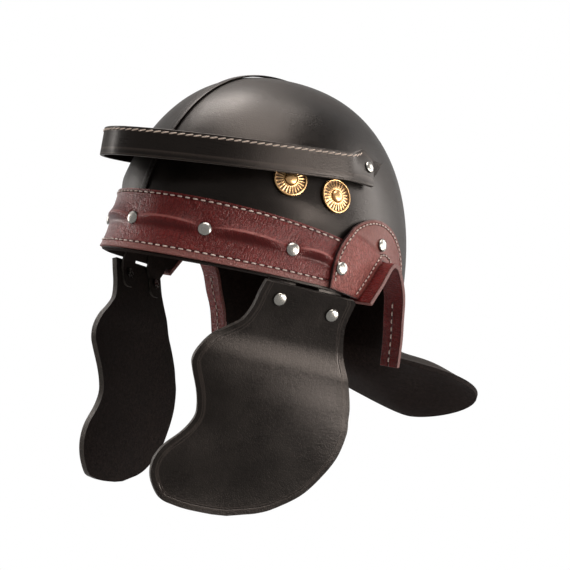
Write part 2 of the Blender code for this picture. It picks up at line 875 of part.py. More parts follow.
def build_side(suffix, side, group, cutters, riveter):
    """What both sides have alike: flange, ear piece, guard, straps, rosettes and their rivets."""
    frame = HingeFrame()
    ear_flange("ear_flange_" + suffix, side, group)
    piece = ear_piece("ear_piece_" + suffix, side, group)
    guard = cheek_guard("cheek_guard_" + suffix, side, group, frame)
    straps = (("front", front_strap_along, front_strap_rivet_drop, band_rivet_angles[2],
               band_middle(band_rivet_angles[2])),
              ("back", back_strap_along, back_strap_rivet_drop, ear_front_rivet_angle, ear_front_rivet_z))
    uppers = []
    movers = []
    cheek_grip = cheek_wall + strap_wall + 2 * fit_gap + burr_gap
    for word, along, drop, angle, z in straps:
        tag = word + "_" + suffix
        uppers.append(strap_upper("hinge_strap_upper_" + tag, side, group, frame, along, angle, z))
        lower = strap_lower("hinge_strap_lower_" + tag, side, group, frame, along, drop)
        place, normal = cheek_rivet_place(frame, along, drop)
        pin = riveter.set("cheek_rivet_" + tag, place, normal, cheek_grip, side)
        movers += [lower, pin]
    cheek_holes = riveter.hole_cutter("cheek_rivet_holes_" + suffix)
    cut(guard, cheek_holes)
    for mover in movers:
        if mover.name.startswith("hinge_strap"):
            cut(mover, cheek_holes)
        hang_on(mover, guard)
    return piece, uppers


def hang_on(child, parent):
    bpy.context.view_layer.update()
    world = child.matrix_world.copy()
    child.parent = parent
    child.matrix_parent_inverse = parent.matrix_world.inverted()
    child.matrix_world = world


def set_rivets(suffix, side, riveter):
    """Rivets through the bowl on one side."""
    to_band = fit_gap + band_wall + fit_gap
    inside = bowl_wall + burr_gap
    strap = fit_gap + strap_wall
    for word, angle, extra in (("middle", band_rivet_angles[1], 0), ("side", band_rivet_angles[2], strap)):
        z = band_middle(angle)
        riveter.set("band_rivet_" + word + "_" + suffix, skin(angle, z, to_band), skin_normal(angle, z),
                    to_band + inside + extra, side)
    over = ear_piece_off(ear_front_rivet_angle, ear_front_rivet_z) + ear_piece_wall + fit_gap
    riveter.set("ear_rivet_front_" + suffix, skin(ear_front_rivet_angle, ear_front_rivet_z, over),
                skin_normal(ear_front_rivet_angle, ear_front_rivet_z), over + inside + strap, side)
    over = ear_piece_off(ear_back_rivet_angle, ear_back_rivet_z) + ear_piece_wall + fit_gap
    riveter.set("ear_rivet_back_" + suffix, skin(ear_back_rivet_angle, ear_back_rivet_z, over),
                skin_normal(ear_back_rivet_angle, ear_back_rivet_z), over + inside, side)
    angle = side_angle(guard_rivet_y, guard_rivet_z)
    over = tab_off() + guard_wall + fit_gap
    riveter.set("guard_rivet_" + suffix, skin(angle, guard_rivet_z, over), skin_normal(angle, guard_rivet_z),
                over + inside, side, small_rivet_cap_radius, small_rivet_cap_height)


def set_rosettes(suffix, side, group, riveter):
    for word, (angle, z) in zip(("front", "back"), rosette_places):
        tag = word + "_" + suffix
        normal = skin_normal(angle, z)
        disc = add_object("rosette_" + tag, rosette_mesh("rosette_" + tag), group, "brass")
        place = skin(angle, z, rosette_gap)
        stand(disc, Vector((place.x * side, place.y, place.z)), Vector((normal.x * side, normal.y, normal.z)))
        top = rosette_gap + rosette_wall + fit_gap
        riveter.set("rosette_knob_" + tag, skin(angle, z, top), normal, top + bowl_wall + burr_gap, side,
                    knob_radius, knob_height, "brass")


def build():
    clear_scene()
    group = new_collection("centurion_helmet")
    cutters = new_collection("cutters")
    riveter = Riveter(group, cutters)
    bowls = [bowl_half("bowl_left", 1, group), bowl_half("bowl_right", -1, group)]
    crown_strip(group)
    band = brow_band(group)
    guard = guard_band(group)
    ledge = guard_ledge(group)
    neck_guard(group)
    opening = ear_cutter(cutters)
    pieces = []
    uppers = []
    for suffix, side in (("left", 1), ("right", -1)):
        piece, leaves = build_side(suffix, side, group, cutters, riveter)
        pieces.append(piece)
        uppers += leaves
    front_over = fit_gap + band_wall + fit_gap
    riveter.set("band_rivet_front", skin(0, band_middle(0), front_over), skin_normal(0, band_middle(0)),
                front_over + bowl_wall + burr_gap, 1)
    for suffix, side in (("left", 1), ("right", -1)):
        set_rivets(suffix, side, riveter)
        set_rosettes(suffix, side, group, riveter)
    holes = riveter.hole_cutter("rivet_holes")
    for thing in bowls + pieces:
        cut(thing, opening)
    for thing in bowls + pieces + uppers + [band, guard, ledge]:
        cut(thing, holes)


build()
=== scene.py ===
import math

import bmesh
import bpy
import numpy as np
from mathutils import Matrix, Vector


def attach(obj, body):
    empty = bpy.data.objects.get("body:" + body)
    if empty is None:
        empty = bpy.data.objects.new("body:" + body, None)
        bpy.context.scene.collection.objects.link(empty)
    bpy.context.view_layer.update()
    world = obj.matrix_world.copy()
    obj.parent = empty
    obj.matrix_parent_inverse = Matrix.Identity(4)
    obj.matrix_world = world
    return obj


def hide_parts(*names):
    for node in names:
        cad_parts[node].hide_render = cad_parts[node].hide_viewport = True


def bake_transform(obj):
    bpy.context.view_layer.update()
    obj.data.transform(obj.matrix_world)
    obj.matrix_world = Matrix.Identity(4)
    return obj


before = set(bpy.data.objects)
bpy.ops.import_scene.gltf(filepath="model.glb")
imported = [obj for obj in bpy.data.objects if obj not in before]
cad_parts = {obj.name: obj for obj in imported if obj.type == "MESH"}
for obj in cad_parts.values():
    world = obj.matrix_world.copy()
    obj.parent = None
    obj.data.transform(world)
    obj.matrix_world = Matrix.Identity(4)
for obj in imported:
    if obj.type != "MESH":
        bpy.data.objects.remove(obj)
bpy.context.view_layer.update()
sides = (("left", 1), ("right", -1))
print("frame loaded")


# Numbers and curves
def mix(low, high, share):
    # low where share is 0, high where it is 1
    return low + (high - low) * share


def smooth(share):
    # 3s^2 - 2s^3, held at 0 and 1 outside
    share = np.clip(share, 0, 1)
    return share * share * (3 - 2 * share)


def unit(vectors):
    # each vector over its own length
    length = np.linalg.norm(vectors, axis=-1, keepdims=True)
    return vectors / np.maximum(length, 1e-12)


def mirrored(vectors, side):
    # side 1 keeps the wearer's left, -1 turns x round for the right
    return np.asarray(vectors) * np.array([side, 1, 1])


def runAlong(line):
    # the length run at each point of a polyline
    return np.concatenate([[0], np.cumsum(np.linalg.norm(np.diff(line, axis=0), axis=1))])


def readAt(line, run, wanted):
    # the polyline's columns, read off at the wanted runs
    return np.stack([np.interp(wanted, run, column) for column in line.T], 1)


def evenly(line, count):
    # points at equal runs along a polyline
    run = runAlong(line)
    return readAt(line, run, np.linspace(0, run[-1], count + 1))


def curveThrough(points, count, stepsBetween=30):
    # Catmull-Rom: (2b + (c-a)t + (2a-5b+4c-d)t^2 + (3b-a-3c+d)t^3) / 2 between b and c
    p = np.asarray(points, float)
    p = np.vstack([2 * p[0] - p[1], p, 2 * p[-1] - p[-2]])
    t = np.linspace(0, 1, stepsBetween, endpoint=False)[:, None, None]
    a, b, c, d = p[:-3], p[1:-2], p[2:-1], p[3:]
    fine = (2 * b + (c - a) * t + (2 * a - 5 * b + 4 * c - d) * t ** 2 + (3 * b - a - 3 * c + d) * t ** 3) / 2
    fine = fine.transpose(1, 0, 2).reshape(-1, p.shape[1])
    return evenly(np.vstack([fine, p[-2]]), count)


def lineNormals(line):
    # unit normals of a plane curve, a quarter turn left of its run
    run = unit(np.gradient(line, axis=0))
    return np.stack([-run[:, 1], run[:, 0]], 1)


def distanceTo(points, line, closed=False):
    # least distance from each plane point to the pieces of a polyline
    ends = np.roll(line, -1, axis=0) if closed else line[1:]
    starts = line if closed else line[:-1]
    run = ends - starts
    size = np.maximum((run ** 2).sum(1), 1e-16)
    flat = points.reshape(-1, 2)
    best = np.full(len(flat), 1e9)
    for start, along, square in zip(starts, run, size):
        away = flat - start
        share = np.clip(away @ along / square, 0, 1)[:, None]
        best = np.minimum(best, np.linalg.norm(away - share * along, axis=1))
    return best.reshape(points.shape[:-1])


# The bowl's outer skin, the same surface as the solid's
bowl = dict(
    halfWidth=0.0932, halfLength=0.1177, height=0.1451, power=2.34, wall=0.0035, seam=0.0003,
    skirtDepth=0.0285, flat=0.0036, flatTop=0.058, flatRun=0.016, flare=0.0085, flareHeight=0.025,
    rimShow=0.0015, shoulder=0.08, rimColumns=70, archColumns=120, skirtColumns=54, lowRows=44, highRows=40,
    lowSpread=1.15,
)
fit = 0.0004  # air left between two pieces of leather


def bowlShare(z):
    # (1 - (z/height)^power)^(1/power) above the rim, 1 below it
    rise = np.maximum(z, 0) / bowl["height"]
    return np.maximum(1 - rise ** bowl["power"], 0) ** (1 / bowl["power"])


def eggNormal(angle, z):
    # gradient of (x/a)^2 + (y/b)^2 carried up by the egg's power
    power = bowl["power"]
    steep = np.maximum(bowlShare(z), 0.001) ** (power - 1)
    rise = (np.maximum(z, 0) / bowl["height"]) ** (power - 1) / bowl["height"]
    x = steep * np.sin(angle) / bowl["halfWidth"]
    y = -steep * np.cos(angle) / bowl["halfLength"]
    return unit(np.stack(np.broadcast_arrays(x, y, rise), -1))


def skin(angle, z, off=0):
    # ellipse times bowlShare(z), moved out by the rim's flare less the wall's flat, and off along the normal
    angle, z, off = np.broadcast_arrays(angle, z, off)
    a, b = bowl["halfWidth"], bowl["halfLength"]
    share = bowlShare(z)
    point = np.stack([a * share * np.sin(angle), -b * share * np.cos(angle), z + 0 * share], -1)
    across = unit(np.stack([np.sin(angle) / a, -np.cos(angle) / b, 0 * angle], -1))
    flat = bowl["flat"] * np.sin(2 * angle) ** 2 * smooth((bowl["flatTop"] - z) / bowl["flatRun"])
    low = np.maximum(1 - np.maximum(z, 0) / bowl["flareHeight"], 0)
    flare = bowl["flare"] * low ** 2 * np.cos(angle) ** 2
    ahead = np.cos(angle) >= 0
    return point + across * (ahead * (flare - flat))[..., None] + eggNormal(angle, z) * off[..., None]


def skinNormal(angle, z, step=0.0005):
    # across the two tangents of the skin
    turn = step / bowl["halfLength"]
    around = skin(angle + turn, z) - skin(angle - turn, z)
    return unit(np.cross(around, skin(angle, z + step) - skin(angle, z - step)))


def sideAngle(y, z):
    # the angle at which the left wall has this y
    return np.arccos(np.clip(-y / (bowl["halfLength"] * bowlShare(z)), -1, 1))


# Meshes
def gridNormals(grid):
    # across the two gradients of the grid
    return unit(np.cross(np.gradient(grid, axis=1), np.gradient(grid, axis=0)))


def runs(grid):
    # lengths down and across a grid, for a map in real metres
    down = np.linalg.norm(np.diff(grid, axis=0), axis=2)
    across = np.linalg.norm(np.diff(grid, axis=1), axis=2)
    u = np.pad(np.cumsum(across, axis=1), ((0, 0), (1, 0)))
    v = np.pad(np.cumsum(down, axis=0), ((1, 0), (0, 0)))
    return np.stack([u - u.mean(1, keepdims=True), v], -1)


def gridFaces(rows, columns, closed=False):
    # quads between neighbours; closed joins the last column to the first
    i = np.arange(rows - 1)[:, None]
    j = np.arange(columns if closed else columns - 1)[None, :]
    a = i * columns + j
    b = i * columns + (j + 1) % columns
    return np.stack([a, b, b + columns, a + columns], -1).reshape(-1, 4)


def meshFrom(name, points, faces, maps=None, fields=None):
    # maps is a UV map in metres, and fields are numbers at the points that the finishes read
    mesh = bpy.data.meshes.new(name)
    mesh.from_pydata(np.asarray(points).reshape(-1, 3).tolist(), [], np.asarray(faces).tolist())
    if maps is not None:
        loops = np.zeros(len(mesh.loops), np.int32)
        mesh.loops.foreach_get("vertex_index", loops)
        layer = mesh.uv_layers.new(name="Metres")
        layer.data.foreach_set("uv", maps.reshape(-1, 2)[loops].astype(np.float32).ravel())
    for word, values in (fields or {}).items():
        field = mesh.attributes.new(word, "FLOAT", "POINT")
        field.data.foreach_set("value", np.asarray(values, np.float32).ravel())
    mesh.shade_smooth()
    return mesh


def facesOut(points, faces, centre):
    # turns all faces round if most of them look at the centre
    corner = np.asarray(points).reshape(-1, 3)[faces]
    normal = np.cross(corner[:, 2] - corner[:, 0], corner[:, 3] - corner[:, 1])
    facing = (normal * (corner.mean(1) - np.asarray(centre))).sum()
    return faces[:, ::-1] if facing < 0 else faces


def addPiece(name, mesh, body, nodes, materials):
    # body is None for a strap, which is attached to no body
    piece = bpy.data.objects.new(name, mesh)
    bpy.context.scene.collection.objects.link(piece)
    for material in materials:
        mesh.materials.append(material)
    if body:
        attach(piece, body)
    if nodes:
        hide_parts(*nodes)
    return piece


def mergeDoubles(mesh, gap=0.00002):
    # points closer than the gap become one, and faces that this flattens go
    work = bmesh.new()
    work.from_mesh(mesh)
    bmesh.ops.remove_doubles(work, verts=work.verts, dist=gap)
    bmesh.ops.dissolve_degenerate(work, edges=work.edges, dist=gap / 4)
    work.to_mesh(mesh)
    work.free()


def leather(name, grid, wall, body, nodes, materials, side=1, centre=(0, 0, 0), bevel=0.0006,
            fields=None):
    # a sheet whose grained face is the grid; materials are grain, cut edge and flesh side
    points = mirrored(grid, side)
    faces = facesOut(points, gridFaces(*grid.shape[:2]), mirrored(centre, side))
    mesh = meshFrom(name, points, faces, runs(grid), fields)
    mergeDoubles(mesh)
    piece = addPiece(name, mesh, body, nodes, materials)
    shell = piece.modifiers.new("Wall", "SOLIDIFY")
    shell.thickness = wall
    shell.offset = -1
    shell.use_even_offset = True
    shell.material_offset_rim = 1
    shell.material_offset = 2
    rounding = piece.modifiers.new("Rounded edge", "BEVEL")
    rounding.width = bevel
    rounding.segments = 2
    rounding.limit_method = "ANGLE"
    rounding.angle_limit = math.radians(50)
    rounding.harden_normals = True
    return piece


def lathe(profile, steps):
    # profile rows of (radius, height), turned about Z
    turn = np.linspace(0, 2 * np.pi, steps, endpoint=False)
    r, z = np.asarray(profile, float).T[..., None]
    return np.stack([r * np.cos(turn), r * np.sin(turn), z + 0 * turn], -1)


def standOn(points, place, normal):
    # the local Z goes along the normal at the place
    turn = np.array(Vector(normal).to_track_quat("Z", "Y").to_matrix())
    return points @ turn.T + np.asarray(place)


# Shader maths
class Value:
    # a socket that can stand in a Python sum
    def __init__(self, tree, socket):
        self.tree = tree
        self.socket = socket

    def maths(self, operation, first, second=None):
        # one Math node, fed by sockets or by plain numbers
        node = self.tree.nodes.new("ShaderNodeMath")
        node.operation = operation
        for slot, given in zip(node.inputs, (first, second)):
            if isinstance(given, Value):
                self.tree.links.new(given.socket, slot)
            elif given is not None:
                slot.default_value = given
        return Value(self.tree, node.outputs[0])

    def __add__(self, other):
        return self.maths("ADD", self, other)

    def __mul__(self, other):
        return self.maths("MULTIPLY", self, other)

    __radd__ = __add__
    __rmul__ = __mul__

    def __sub__(self, other):
        return self.maths("SUBTRACT", self, other)

    def __rsub__(self, other):
        return self.maths("SUBTRACT", other, self)


class Finish:
    # a material and the nodes that feed its shader
    def __init__(self, name, colour, roughness, metallic=0, specular=0.5, tint=(1, 1, 1)):
        self.material = bpy.data.materials.new(name)
        self.material.use_nodes = True
        self.tree = self.material.node_tree
        self.shader = self.tree.nodes["Principled BSDF"]
        self.shader.inputs["Base Color"].default_value = (*colour, 1)
        self.shader.inputs["Roughness"].default_value = roughness
        self.shader.inputs["Metallic"].default_value = metallic
        self.shader.inputs["Specular IOR Level"].default_value = specular
        self.shader.inputs["Specular Tint"].default_value = (*tint, 1)
        self.place = self.node("ShaderNodeTexCoord", out="Object")

    def node(self, kind, settings=None, inputs=None, out=0):
        # settings go first, then values or links into the sockets
        made = self.tree.nodes.new(kind)
        for word, value in (settings or {}).items():
            setattr(made, word, value)
        for word, value in (inputs or {}).items():
            if isinstance(value, Value):
                self.tree.links.new(value.socket, made.inputs[word])
            else:
                made.inputs[word].default_value = value
        return Value(self.tree, made.outputs[out])

    def noise(self, scale, detail, rough, place=None, distortion=0):
        # clouds from 0 to 1
        return self.node("ShaderNodeTexNoise", None, {"Vector": place or self.place, "Scale": scale,
                         "Detail": detail, "Roughness": rough, "Distortion": distortion}, "Fac")

    def cells(self, place, scale, width):
        # 1 on the borders between cells, 0 a width away from them
        edge = self.node("ShaderNodeTexVoronoi", {"feature": "DISTANCE_TO_EDGE"},
                         {"Vector": place, "Scale": scale}, "Distance")
        return 1 - self.ramp(edge, 0, width)

    def stretched(self, place, factors, turn=(0, 0, 0)):
        # the place turned and scaled, so that a pattern lies along one way
        return self.node("ShaderNodeMapping", None, {"Vector": place, "Scale": factors, "Rotation": turn})

    def ramp(self, value, low, high):
        # 0 below low, 1 above high, smooth between
        return self.node("ShaderNodeMapRange", {"interpolation_type": "SMOOTHSTEP"},
                         {"Value": value, "From Min": low, "From Max": high})

    def between(self, value, low, high, first, second):
        # first where the value is low, second where it is high
        return self.ramp(value, low, high) * (second - first) + first

    def line(self, value, middle, width):
        # 1 on a line at that value, 0 a width away from it
        away = value - middle
        return 1 - self.ramp(away.maths("ABSOLUTE", away), 0, width)

    def field(self, name):
        # a number kept at the mesh's points
        return self.node("ShaderNodeAttribute", {"attribute_name": name}, None, "Fac")

    def blend(self, factor, first, second):
        # the first colour where the factor is 0, the second where it is 1
        made = self.tree.nodes.new("ShaderNodeMix")
        made.data_type = "RGBA"
        for slot, given in zip((made.inputs[0], made.inputs[6], made.inputs[7]), (factor, first, second)):
            if isinstance(given, Value):
                self.tree.links.new(given.socket, slot)
            else:
                slot.default_value = (*given, 1)
        return Value(self.tree, made.outputs[2])

    def over(self, colour, pattern, low, high, share, layer):
        # the layer covers that share of the colour where the pattern is high
        return self.blend(self.ramp(pattern, low, high) * share, colour, layer)

    def set(self, word, value):
        # the value drives that socket of the shader
        self.tree.links.new(value.socket, self.shader.inputs[word])

    def bump(self, height, metres):
        # height from 0 to 1 stands for that many metres
        inputs = {"Height": height, "Distance": metres, "Strength": 1}
        self.set("Normal", self.node("ShaderNodeBump", None, inputs, "Normal"))


# Finishes
blackLook = dict(
    colour=(0.0072, 0.0054, 0.0046), worn=(0.015, 0.0115, 0.0095), pore=(0.002, 0.0016, 0.0015),
    # painted light: the line colour stands for shade in the sunk lines, the lip colour for a highlight beside
    # them
    pressed=(0.002, 0.002, 0.002), lip=(0.045, 0.035, 0.03), tint=(1, 0.88, 0.8),
    roughness=0.33, specular=0.095, glancing=0.5, glancingRun=(0.4, 0.75), bump=0.00008,
    clouds=(26, 4, 0.6), wrinkles=(330, 4, 0.6), twist=0.3, strokes=(300, 4, 0.6),
    strokeShape=(0.25, 0.25, 3), strokeHeight=0.12, strokeRough=0.12, wear=(0.42, 0.72, 0.5),
    pores=620, poreWidth=0.14, poreShare=0.35, poreHeight=0.3, roughRun=(0.35, 0.7), roughEnds=(0.27, 0.37),
    lineWidth=0.0006, lineShare=0.75, lineDepth=1.5, lipAway=1.6, lipHighlightShare=0.7,
)
redLook = dict(
    colour=(0.2, 0.0145, 0.013), deep=(0.13, 0.009, 0.0085), rubbed=(0.32, 0.055, 0.048),
    # painted light: shade is the colour of painted shade under the rib and behind the ear piece's crease, and
    # the next colour a painted highlight on the rib's top
    valley=(0.014, 0.0022, 0.0022), shade=(0.06, 0.005, 0.005), crestHighlight=(0.5, 0.15, 0.13),
    margin=(0.38, 0.17, 0.145), tint=(1, 0.8, 0.76), roughness=0.34, specular=0.125, bump=0.00045,
    slant=math.radians(-52), clouds=(30, 4, 0.55), cloudRun=(0.35, 0.68), pores=(2600, 3, 0.6),
    pebbles=640, pebbleShape=(1, 0.5, 1), valleyWidth=0.17, valleyShare=0.45,
    streaks=(420, 5, 0.62), twist=0.9, hatch=(1000, 3, 0.55), hatchShape=(1, 0.16, 1),
    rubbedStreaks=(0.48, 0.68, 0.25), darkStreaks=(0.5, 0.32, 0.3), rubbedHatch=(0.5, 0.68, 0.3),
    heights=(0.4, 0.9, 0.8, 0.2), flattened=0.85, shadeShare=0.75, crestRun=(0.1, 1, 0.7),
    seamWidth=0.001, seamShare=0.85, seamDepth=1.6, marginStart=0.8, marginShare=0.5,
    edgeDarkRun=(0.0004, 0.0016), edgeDarkShare=0.6, roughRun=(0.35, 0.7), roughEnds=(0.42, 0.29),
)
# painted light: a lighter copy of the oxblood stands for the light on the ear piece, and its shade colour is
# painted shade past the crease
earLitLook = dict(redLook, colour=(0.42, 0.1, 0.085), deep=(0.34, 0.075, 0.063), rubbed=(0.58, 0.25, 0.22),
               shade=(0.12, 0.02, 0.011), specular=0.085, tint=(1, 0.74, 0.66))
edgeLook = dict(fibres=(900, 5, 0.7), twist=1, run=(0.35, 0.7), roughness=0.6, roughRun=(0.3, 0.7),
                roughEnds=(0.5, 0.7), bump=0.0003)
fleshLook = dict(tangle=(520, 7, 0.72), twist=1.2, run=(0.38, 0.68), blotch=(40, 3, 0.5),
                 blotched=(0.35, 0.7, 0.4), roughness=0.85, roughRun=(0.3, 0.7), roughEnds=(0.85, 0.73),
                 specular=0.03, bump=0.0005)
threadLook = dict(strands=(2400, 2, 0.5), run=(0.35, 0.6), roughRun=(0.3, 0.7), roughEnds=(0.7, 0.5),
                  roughness=0.6, specular=0.3, bump=0.0001)


def blackLeather(name, look, lines=False):
    # smooth dyed leather: slow clouds of wear, fine pores, and creases sunk in where asked, with painted
    # shade in them and a painted highlight beside them.
    # it loses its gloss at a glancing angle, as worn leather does
    made = Finish(name, look["colour"], look["roughness"], specular=look["specular"], tint=look["tint"])
    clouds = made.noise(*look["clouds"])
    wrinkles = made.noise(*look["wrinkles"], distortion=look["twist"])
    strokes = made.noise(*look["strokes"], made.stretched(made.place, look["strokeShape"]))
    valley = made.cells(made.place, look["pores"], look["poreWidth"])
    colour = made.over(look["colour"], clouds, *look["wear"], look["worn"])
    colour = made.blend(valley * look["poreShare"], colour, look["pore"])
    height = (1 - valley) * look["poreHeight"] + wrinkles + strokes * look["strokeHeight"]
    rough = made.between(clouds, *look["roughRun"], *look["roughEnds"])
    rough = rough + (strokes - 0.5) * look["strokeRough"]
    glancing = made.node("ShaderNodeLayerWeight", None, {"Blend": 0.5}, "Facing")
    rough = rough + made.ramp(glancing, *look["glancingRun"]) * look["glancing"]
    # painted shade darkens the sunk line, which the bump also deepens, and a painted highlight lightens a
    # line beside it
    if lines:
        pressed = made.line(made.field("crease"), 0, look["lineWidth"])
        colour = made.blend(pressed * look["lineShare"], colour, look["pressed"])
        lip = made.line(made.field("crease"), look["lineWidth"] * look["lipAway"], look["lineWidth"])
        colour = made.blend(lip * look["lipHighlightShare"], colour, look["lip"])
        height = height - pressed * look["lineDepth"]
    made.set("Base Color", colour)
    made.set("Roughness", rough)
    made.bump(height, look["bump"])
    return made.material


def redLeather(name, look, margin=0):
    # pebbled leather: slanted creases between pebbles, dark in the valleys, a brown margin where asked, and
    # painted highlight and painted shade where a mesh field asks
    made = Finish(name, look["colour"], look["roughness"], specular=look["specular"], tint=look["tint"])
    metres = made.node("ShaderNodeUVMap", {"uv_map": "Metres"})
    slant = (0, 0, look["slant"])
    slanted = made.stretched(metres, look["pebbleShape"], slant)
    valley = made.cells(slanted, look["pebbles"], look["valleyWidth"])
    streaks = made.noise(*look["streaks"], slanted, look["twist"])
    fine = made.noise(*look["pores"])
    hatch = made.noise(*look["hatch"], made.stretched(metres, look["hatchShape"], slant))
    clouds = made.noise(*look["clouds"])
    colour = made.blend(made.ramp(clouds, *look["cloudRun"]), look["deep"], look["colour"])
    colour = made.over(colour, streaks, *look["rubbedStreaks"], look["rubbed"])
    colour = made.over(colour, streaks, *look["darkStreaks"], look["valley"])
    colour = made.over(colour, hatch, *look["rubbedHatch"], look["rubbed"])
    colour = made.blend(valley * look["valleyShare"], colour, look["valley"])
    # painted light from a mesh field: below 0 it turns the colour to the shade colour and flattens the grain
    # (painted shade), high it lightens the colour (painted highlight)
    foldLightAndShade = made.field("foldLightAndShade")
    under = made.ramp(foldLightAndShade, 0, -1)
    pebbleHigh, streakHigh, hatchHigh, poreHigh = look["heights"]
    height = (1 - valley) * pebbleHigh + streaks * streakHigh + hatch * hatchHigh + fine * poreHigh
    height = height * (1 - under * look["flattened"])
    colour = made.blend(under * look["shadeShare"], colour, look["shade"])
    colour = made.over(colour, foldLightAndShade, *look["crestRun"], look["crestHighlight"])
    # painted shade: a dark line along the stitch rows, also sunk a little in the bump
    seam = made.line(made.field("seam"), 0, look["seamWidth"])
    colour = made.blend(seam * look["seamShare"], colour, look["valley"])
    height = height - seam * look["seamDepth"]
    if margin:
        band = 1 - made.ramp(made.field("edge"), margin * look["marginStart"], margin)
        colour = made.blend(band * look["marginShare"], colour, look["margin"])
    else:
        # darker near the piece's edge
        edgeDark = 1 - made.ramp(made.field("edge"), *look["edgeDarkRun"])
        colour = made.blend(edgeDark * look["edgeDarkShare"], colour, look["valley"])
    rough = made.between(streaks, *look["roughRun"], *look["roughEnds"])
    made.set("Base Color", colour)
    made.set("Roughness", rough)
    made.bump(height, look["bump"])
    return made.material


def cutEdge(name, colour, fibre, specular=0.12):
    # a burnished edge: the dye over packed fibres
    look = edgeLook
    made = Finish(name, colour, look["roughness"], specular=specular)
    fibres = made.noise(*look["fibres"], distortion=look["twist"])
    made.set("Base Color", made.blend(made.ramp(fibres, *look["run"]), colour, fibre))
    made.set("Roughness", made.between(fibres, *look["roughRun"], *look["roughEnds"]))
    made.bump(fibres, look["bump"])
    return made.material


def fleshSide(name, colour, fibre):
    # the rough side: tangled fibres over slow blotches
    look = fleshLook
    made = Finish(name, colour, look["roughness"], specular=look["specular"])
    tangle = made.noise(*look["tangle"], distortion=look["twist"])
    blotch = made.noise(*look["blotch"])
    tangled = made.blend(made.ramp(tangle, *look["run"]), colour, fibre)
    made.set("Base Color", made.over(tangled, blotch, *look["blotched"], colour))
    made.set("Roughness", made.between(tangle, *look["roughRun"], *look["roughEnds"]))
    made.bump(tangle, look["bump"])
    return made.material


def threadFinish(name, colour, shade):
    # waxed thread: strands darker in their hollows
    look = threadLook
    made = Finish(name, colour, look["roughness"], specular=look["specular"])
    strands = made.noise(*look["strands"])
    made.set("Base Color", made.blend(made.ramp(strands, *look["run"]), shade, colour))
    made.set("Roughness", made.between(strands, *look["roughRun"], *look["roughEnds"]))
    made.bump(strands, look["bump"])
    return made.material


def metalFinish(name, look, aged=False):
    # worn metal: small scratches and dull spots, with dirt in the hollows where it is aged
    made = Finish(name, look["colour"], look["roughness"], metallic=1)
    spots = made.noise(*look["spots"])
    stretched = made.stretched(made.place, look["scratchShape"], look["scratchTurn"])
    scratches = made.noise(*look["scratches"], stretched)
    dull = made.ramp(spots, *look["dullRun"])
    colour = made.blend(dull * look["dullShare"], look["colour"], look["dull"])
    rough = dull * look["dullRough"] + scratches * look["scratchRough"]
    rough = rough + (look["roughness"] - look["smoother"])
    if aged:
        dirt = made.ramp(made.field("hollow") + (spots - 0.5) * look["ragged"], *look["dirtRun"])
        colour = made.blend(dirt * look["dirtShare"], colour, look["dirt"])
        rough = rough + dirt * look["dirtRough"]
        made.set("Metallic", 1 - dirt * look["dirtCover"])
    made.set("Base Color", colour)
    made.set("Roughness", rough)
    made.bump(spots * look["spotHeight"] + scratches * (1 - look["spotHeight"]), look["bump"])
    return made.material


nickelLook = dict(
    colour=(0.175, 0.167, 0.152), dull=(0.1, 0.095, 0.086), roughness=0.26, bump=0.00001,
    spots=(600, 5, 0.65), scratches=(900, 3, 0.6), scratchShape=(1, 1, 0.12), scratchTurn=(0.5, 0.3, 0),
    dullRun=(0.4, 0.7), dullShare=0.45, dullRough=0.14, scratchRough=0.12, smoother=0.1, spotHeight=0.6,
)
brassLook = dict(nickelLook, colour=(0.29, 0.178, 0.08), dull=(0.18, 0.105, 0.044), roughness=0.3,
                 dirt=(0.075, 0.036, 0.015), ragged=0.35, dirtRun=(0.3, 0.75), dirtShare=0.9, dirtRough=0.3,
                 dirtCover=0.55)

blackGrain = blackLeather("blackGrain", dict(blackLook, glancing=0.22))
blackCreased = blackLeather("blackCreased", blackLook, True)
blackEdge = cutEdge("blackCutEdge", (0.022, 0.018, 0.015), (0.07, 0.055, 0.045), 0.25)
blackFlesh = fleshSide("blackFleshSide", (0.0075, 0.0045, 0.0036), (0.02, 0.0115, 0.009))
greyFlesh = fleshSide("greyFleshSide", (0.045, 0.04, 0.037), (0.17, 0.15, 0.138))
redGrain = redLeather("oxbloodGrain", redLook)
redBand = redLeather("oxbloodBand", redLook, 0.0036)
redEarLit = redLeather("oxbloodEarPieceLit", earLitLook)
redEdge = cutEdge("oxbloodCutEdge", (0.15, 0.045, 0.038), (0.3, 0.13, 0.11))
darkEdge = cutEdge("oxbloodDarkEdge", (0.006, 0.002, 0.002), (0.02, 0.005, 0.005))
redFlesh = fleshSide("oxbloodFleshSide", (0.025, 0.007, 0.006), (0.06, 0.02, 0.017))
nickel = metalFinish("nickel", nickelLook)
agedBrass = metalFinish("agedBrass", brassLook, True)
creamThread = threadFinish("creamThread", (0.95, 0.78, 0.7), (0.55, 0.38, 0.31))
brownThread = threadFinish("brownThread", (0.78, 0.63, 0.52), (0.42, 0.31, 0.24))
blackThread = threadFinish("blackThread", (0.02, 0.017, 0.016), (0.006, 0.005, 0.005))
blackSet = (blackGrain, blackFlesh, blackFlesh)
earSet = (redEarLit, darkEdge, redFlesh)
print("finishes made")


# Stitches
spindle = dict(sides=6, along=(-0.86, -0.45, 0.45, 0.86), thick=(0.75, 1, 1, 0.75), lift=(0.1, 0.5, 0.5, 0.1),
               flat=0.8, dip=0.6)


